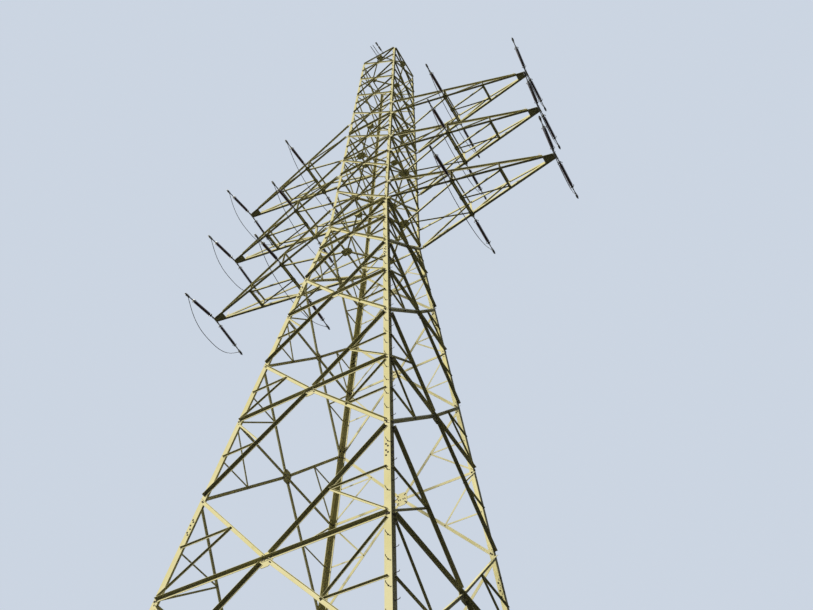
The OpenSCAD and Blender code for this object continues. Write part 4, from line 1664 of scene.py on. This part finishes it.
@dataclass
class EarthWireEnd:
    """The dead end of the earth wire on a top strut, and two thin grips beside it, without wires.

    Blocks have two opposite corners, rods have points along and beside the pull, and turned
    bodies have lengths and radii.
    """

    plan: TowerPlan
    side: Side
    strut_drop: float = 30.0
    offset: float = 145.0
    droop: float = 13.0
    lug: Box = ((-8, -3, -16), (34, 3, 16))
    shackle_x: float = 22.0
    cheek_y: float = 7.0
    cheek: Box = ((-12, -2.5, -11), (40, 2.5, 11))
    shackle_bolt: Bolt = Bolt(across=15.0, head_h=6.0)
    shackle_bolt_y: float = -9.5
    shackle_grip: float = 19.0
    pull_block: Box = ((30, -9, -11), (44, 9, 11))
    pull_rod: tuple[Pair, ...] = ((40, 5), (105, 13))
    pull_rod_d: float = 8.0
    clamp_x: float = 105.0
    clamp_head: Box = ((-8, -18, -9), (10, 18, 9))
    clamp_bar: Box = ((0, -10, -13), (290, 10, 13))
    clamp_bodies: tuple[tuple[Pair, ...], ...] = (
        ((8, 13), (20, 20), (122, 24), (138, 15)),
        ((178, 13), (190, 20), (274, 24), (290, 15)),
    )
    keeper_xs: tuple[float, ...] = (34, 73, 112, 206, 236, 266)
    keeper_half: Point = (7, 16, 28)
    grip_offsets: Pair = (-35.0, 35.0)
    grip_lug: Box = ((-8, -3, -12), (30, 3, 12))
    thimble_x: float = 18.0
    thimble: tuple[Pair, ...] = ((0, 9), (60, 12), (150, 4))
    thimble_pin: tuple[Point, Point] = ((-2, -12, 0), (-2, 12, 0))
    thimble_d: float = 9.0
    splice_x: float = 140.0
    splice: tuple[Pair, ...] = ((0, 5), (8, 9), (228, 8), (240, 4))

    def place(self, offset: float) -> Matrix:
        """Finds a point on the strut's outer face.

        Args:
            offset: The distance of the point from the middle of the strut.

        Returns:
            The matrix of the point, with x away from the tower.
        """
        z = self.plan.pylon_h - self.strut_drop
        side = turn(90 * self.side.value, "Z")
        return side @ move(offset, -self.plan.half_at(z), z) @ turn(-90, "Z")

    def rods(self, shape: Shape, string: Matrix, path: Sequence[Pair], diameter: float) -> None:
        """Draws two like rods, one on either side of the pull, through points along and beside it."""
        for hand in (-1, 1):
            shape.rod(string, [Vector((x, hand * y, 0)) for x, y in path], diameter)

    def shackle(self, shape: Shape, place: Matrix, string: Matrix) -> None:
        """Draws the lug on the strut with the two plates, the bolt and the rods that pull on it.

        Args:
            shape: The piece that the shackle is added to.
            place: The matrix of the lug's foot, with x away from the tower.
            string: The matrix of the shackle's bolt, with x along the pull.
        """
        shape.block(place, *self.lug)
        for hand in (-1, 1):
            cheek = place @ move(self.shackle_x, hand * self.cheek_y) @ turn(self.droop, "Y")
            shape.block(cheek, *self.cheek)
        bolt = string @ move(y=self.shackle_bolt_y) @ turn(90, "X")
        self.shackle_bolt.draw(shape, bolt, self.shackle_grip)
        shape.block(string, *self.pull_block)
        self.rods(shape, string, self.pull_rod, self.pull_rod_d)

    def dead_end(self, shape: Shape) -> None:
        """Draws the shackle and the bolted clamp of the earth wire.

        Args:
            shape: The piece that they are added to.
        """
        place = self.place(self.offset)
        string = place @ move(self.shackle_x) @ turn(self.droop, "Y")
        self.shackle(shape, place, string)
        clamp = string @ move(self.clamp_x)
        shape.block(clamp, *self.clamp_head)
        shape.block(clamp, *self.clamp_bar)
        for body in self.clamp_bodies:
            shape.turned(clamp @ ALONG_X, body, sides=16, smooth=True)
        for x in self.keeper_xs:
            keeper(shape, clamp @ move(x), self.keeper_half)

    def grip(self, shape: Shape, offset: float) -> None:
        """Draws one thin spiral grip with its thimble and lug.

        Args:
            shape: The piece that the grip is added to.
            offset: The distance of the grip from the middle of the strut.
        """
        place = self.place(offset)
        shape.block(place, *self.grip_lug)
        string = place @ move(self.thimble_x) @ turn(self.droop, "Y")
        self.rods(shape, string, self.thimble, self.thimble_d)
        shape.rod(string, [Vector(point) for point in self.thimble_pin], self.thimble_d)
        shape.turned(string @ move(self.splice_x) @ ALONG_X, self.splice, sides=10)

    def build(self, finishes: Finishes) -> None:
        """Makes the dead end and the grips as one piece.

        Args:
            finishes: The tower's finishes.
        """
        shape = Shape(f"earth_wire_end_{self.side.word}")
        self.dead_end(shape)
        for offset in self.grip_offsets:
            self.grip(shape, offset)
        shape.build(finishes.casting, Slot.GALVANISED)


@dataclass(frozen=True)
class Lamp:
    """A distant lamp: the way to it, its strength, the degrees that it spans and its colour."""

    name: str
    way: Point
    strength: float
    softness: float
    colour: Colour

    def build(self) -> None:
        """Adds the lamp to the scene."""
        light = bpy.data.lights.new(self.name, "SUN")
        light.energy = self.strength
        light.angle = math.radians(self.softness)
        light.color = self.colour
        lamp = bpy.data.objects.new(self.name, light)
        lamp.rotation_euler = Vector(self.way).to_track_quat("Z", "Y").to_euler()
        bpy.context.scene.collection.objects.link(lamp)


@dataclass(frozen=True)
class Studio:
    """The plain floor, background, lamps and camera."""

    camera_at: Point = (5.7985, -8.3194, 0.8)
    camera_aim: Point = (-0.29331, 1.78639, 16.94814)
    camera_roll: float = 1.4756
    lens: float = 41.448
    sensor_w: float = 36.0
    clip_end: float = 2000.0
    floor_w: float = 600.0
    floor_colour: Colour = (0.60, 0.645, 0.70)
    floor_bounce: Colour = (0.02, 0.02, 0.015)
    floor_roughness: float = 0.9
    sky_colour: Colour = (0.60, 0.665, 0.76)
    sky_light: float = 1.0
    room_colour: Colour = (1.0, 0.98, 0.90)
    room_light: float = 0.03
    lamps: tuple[Lamp, ...] = (
        Lamp("key", (-0.46, -0.72, 0.52), 4.2, 6.0, (1.0, 0.955, 0.87)),
        Lamp("fill", (-0.12, 0.90, 0.40), 1.4, 30.0, (0.92, 0.96, 1.0)),
    )

    def floor(self) -> None:
        """Makes the plain floor, which throws almost no light back on the object."""
        half = self.floor_w / 2
        corners = [(-half, -half, 0), (half, -half, 0), (half, half, 0), (-half, half, 0)]
        mesh = bpy.data.meshes.new("floor")
        mesh.from_pydata(corners, [], [(0, 1, 2, 3)])
        bench = NodeBench("plain_floor")
        path = bench.tree.nodes.new("ShaderNodeLightPath")
        shown = bench.blended(path.outputs["Is Camera Ray"], self.floor_bounce, self.floor_colour)
        bench.link(shown, bench.shader.inputs["Base Color"])
        bench.shader.inputs["Roughness"].default_value = self.floor_roughness
        mesh.materials.append(bench.material)
        floor = bpy.data.objects.new("floor", mesh)
        bpy.context.scene.collection.objects.link(floor)

    def room(self) -> None:
        """Lights the room evenly, and shows its plain colour behind the object and in its gloss."""
        world = bpy.data.worlds.new("room")
        bpy.context.scene.world = world
        world.use_nodes = True
        tree = world.node_tree
        lit = tree.nodes["Background"]
        shown = tree.nodes.new("ShaderNodeBackground")
        looks = ((lit, self.room_colour, self.room_light), (shown, self.sky_colour, self.sky_light))
        for node, colour, strength in looks:
            node.inputs["Color"].default_value = (*colour, 1.0)
            node.inputs["Strength"].default_value = strength
        path = tree.nodes.new("ShaderNodeLightPath").outputs
        glass = combined(tree, "MAXIMUM", path["Is Glossy Ray"], path["Is Transmission Ray"])
        seen = combined(tree, "MAXIMUM", path["Is Camera Ray"], glass)
        mixed = tree.nodes.new("ShaderNodeMixShader")
        for source, target in zip((seen, lit.outputs[0], shown.outputs[0]), mixed.inputs):
            tree.links.new(source, target)
        tree.links.new(mixed.outputs[0], tree.nodes["World Output"].inputs["Surface"])

    def camera(self) -> None:
        """Sets up the camera at the photograph's viewing angle."""
        data = bpy.data.cameras.new("camera")
        data.lens = self.lens
        data.sensor_width = self.sensor_w
        data.clip_end = self.clip_end
        camera = bpy.data.objects.new("camera", data)
        at, aim = Vector(self.camera_at), Vector(self.camera_aim)
        look = (aim - at).to_track_quat("-Z", "Y").to_matrix().to_4x4()
        camera.matrix_world = Matrix.Translation(at) @ look @ turn(self.camera_roll, "Z")
        bpy.context.scene.collection.objects.link(camera)
        bpy.context.scene.camera = camera

    def build(self) -> None:
        """Sets up the whole studio."""
        self.floor()
        self.room()
        for lamp in self.lamps:
            lamp.build()
        self.camera()
        bpy.context.scene.view_settings.view_transform = "Standard"


def main() -> None:
    """Dresses the tower part by part."""
    logging.basicConfig(level=logging.INFO, format="%(name)s: %(message)s")
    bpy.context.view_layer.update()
    plan = TowerPlan()
    finishes = Finishes()
    finishes.dress(frame["nodes"])
    for side in Side:
        BodySide(plan, side).build(finishes)
        CageSide(plan, side).build(finishes)
    for corner in Corner:
        Leg(plan, corner, has_steps=corner is Corner.FRONT_RIGHT).build(finishes)
    for tier in Tier:
        for hand in Hand:
            Arm(plan, tier, hand).build(finishes)
    for side in (Side.FRONT, Side.BACK):
        EarthWireEnd(plan, side).build(finishes)
    Studio().build()


if __name__ == "__main__":
    main()
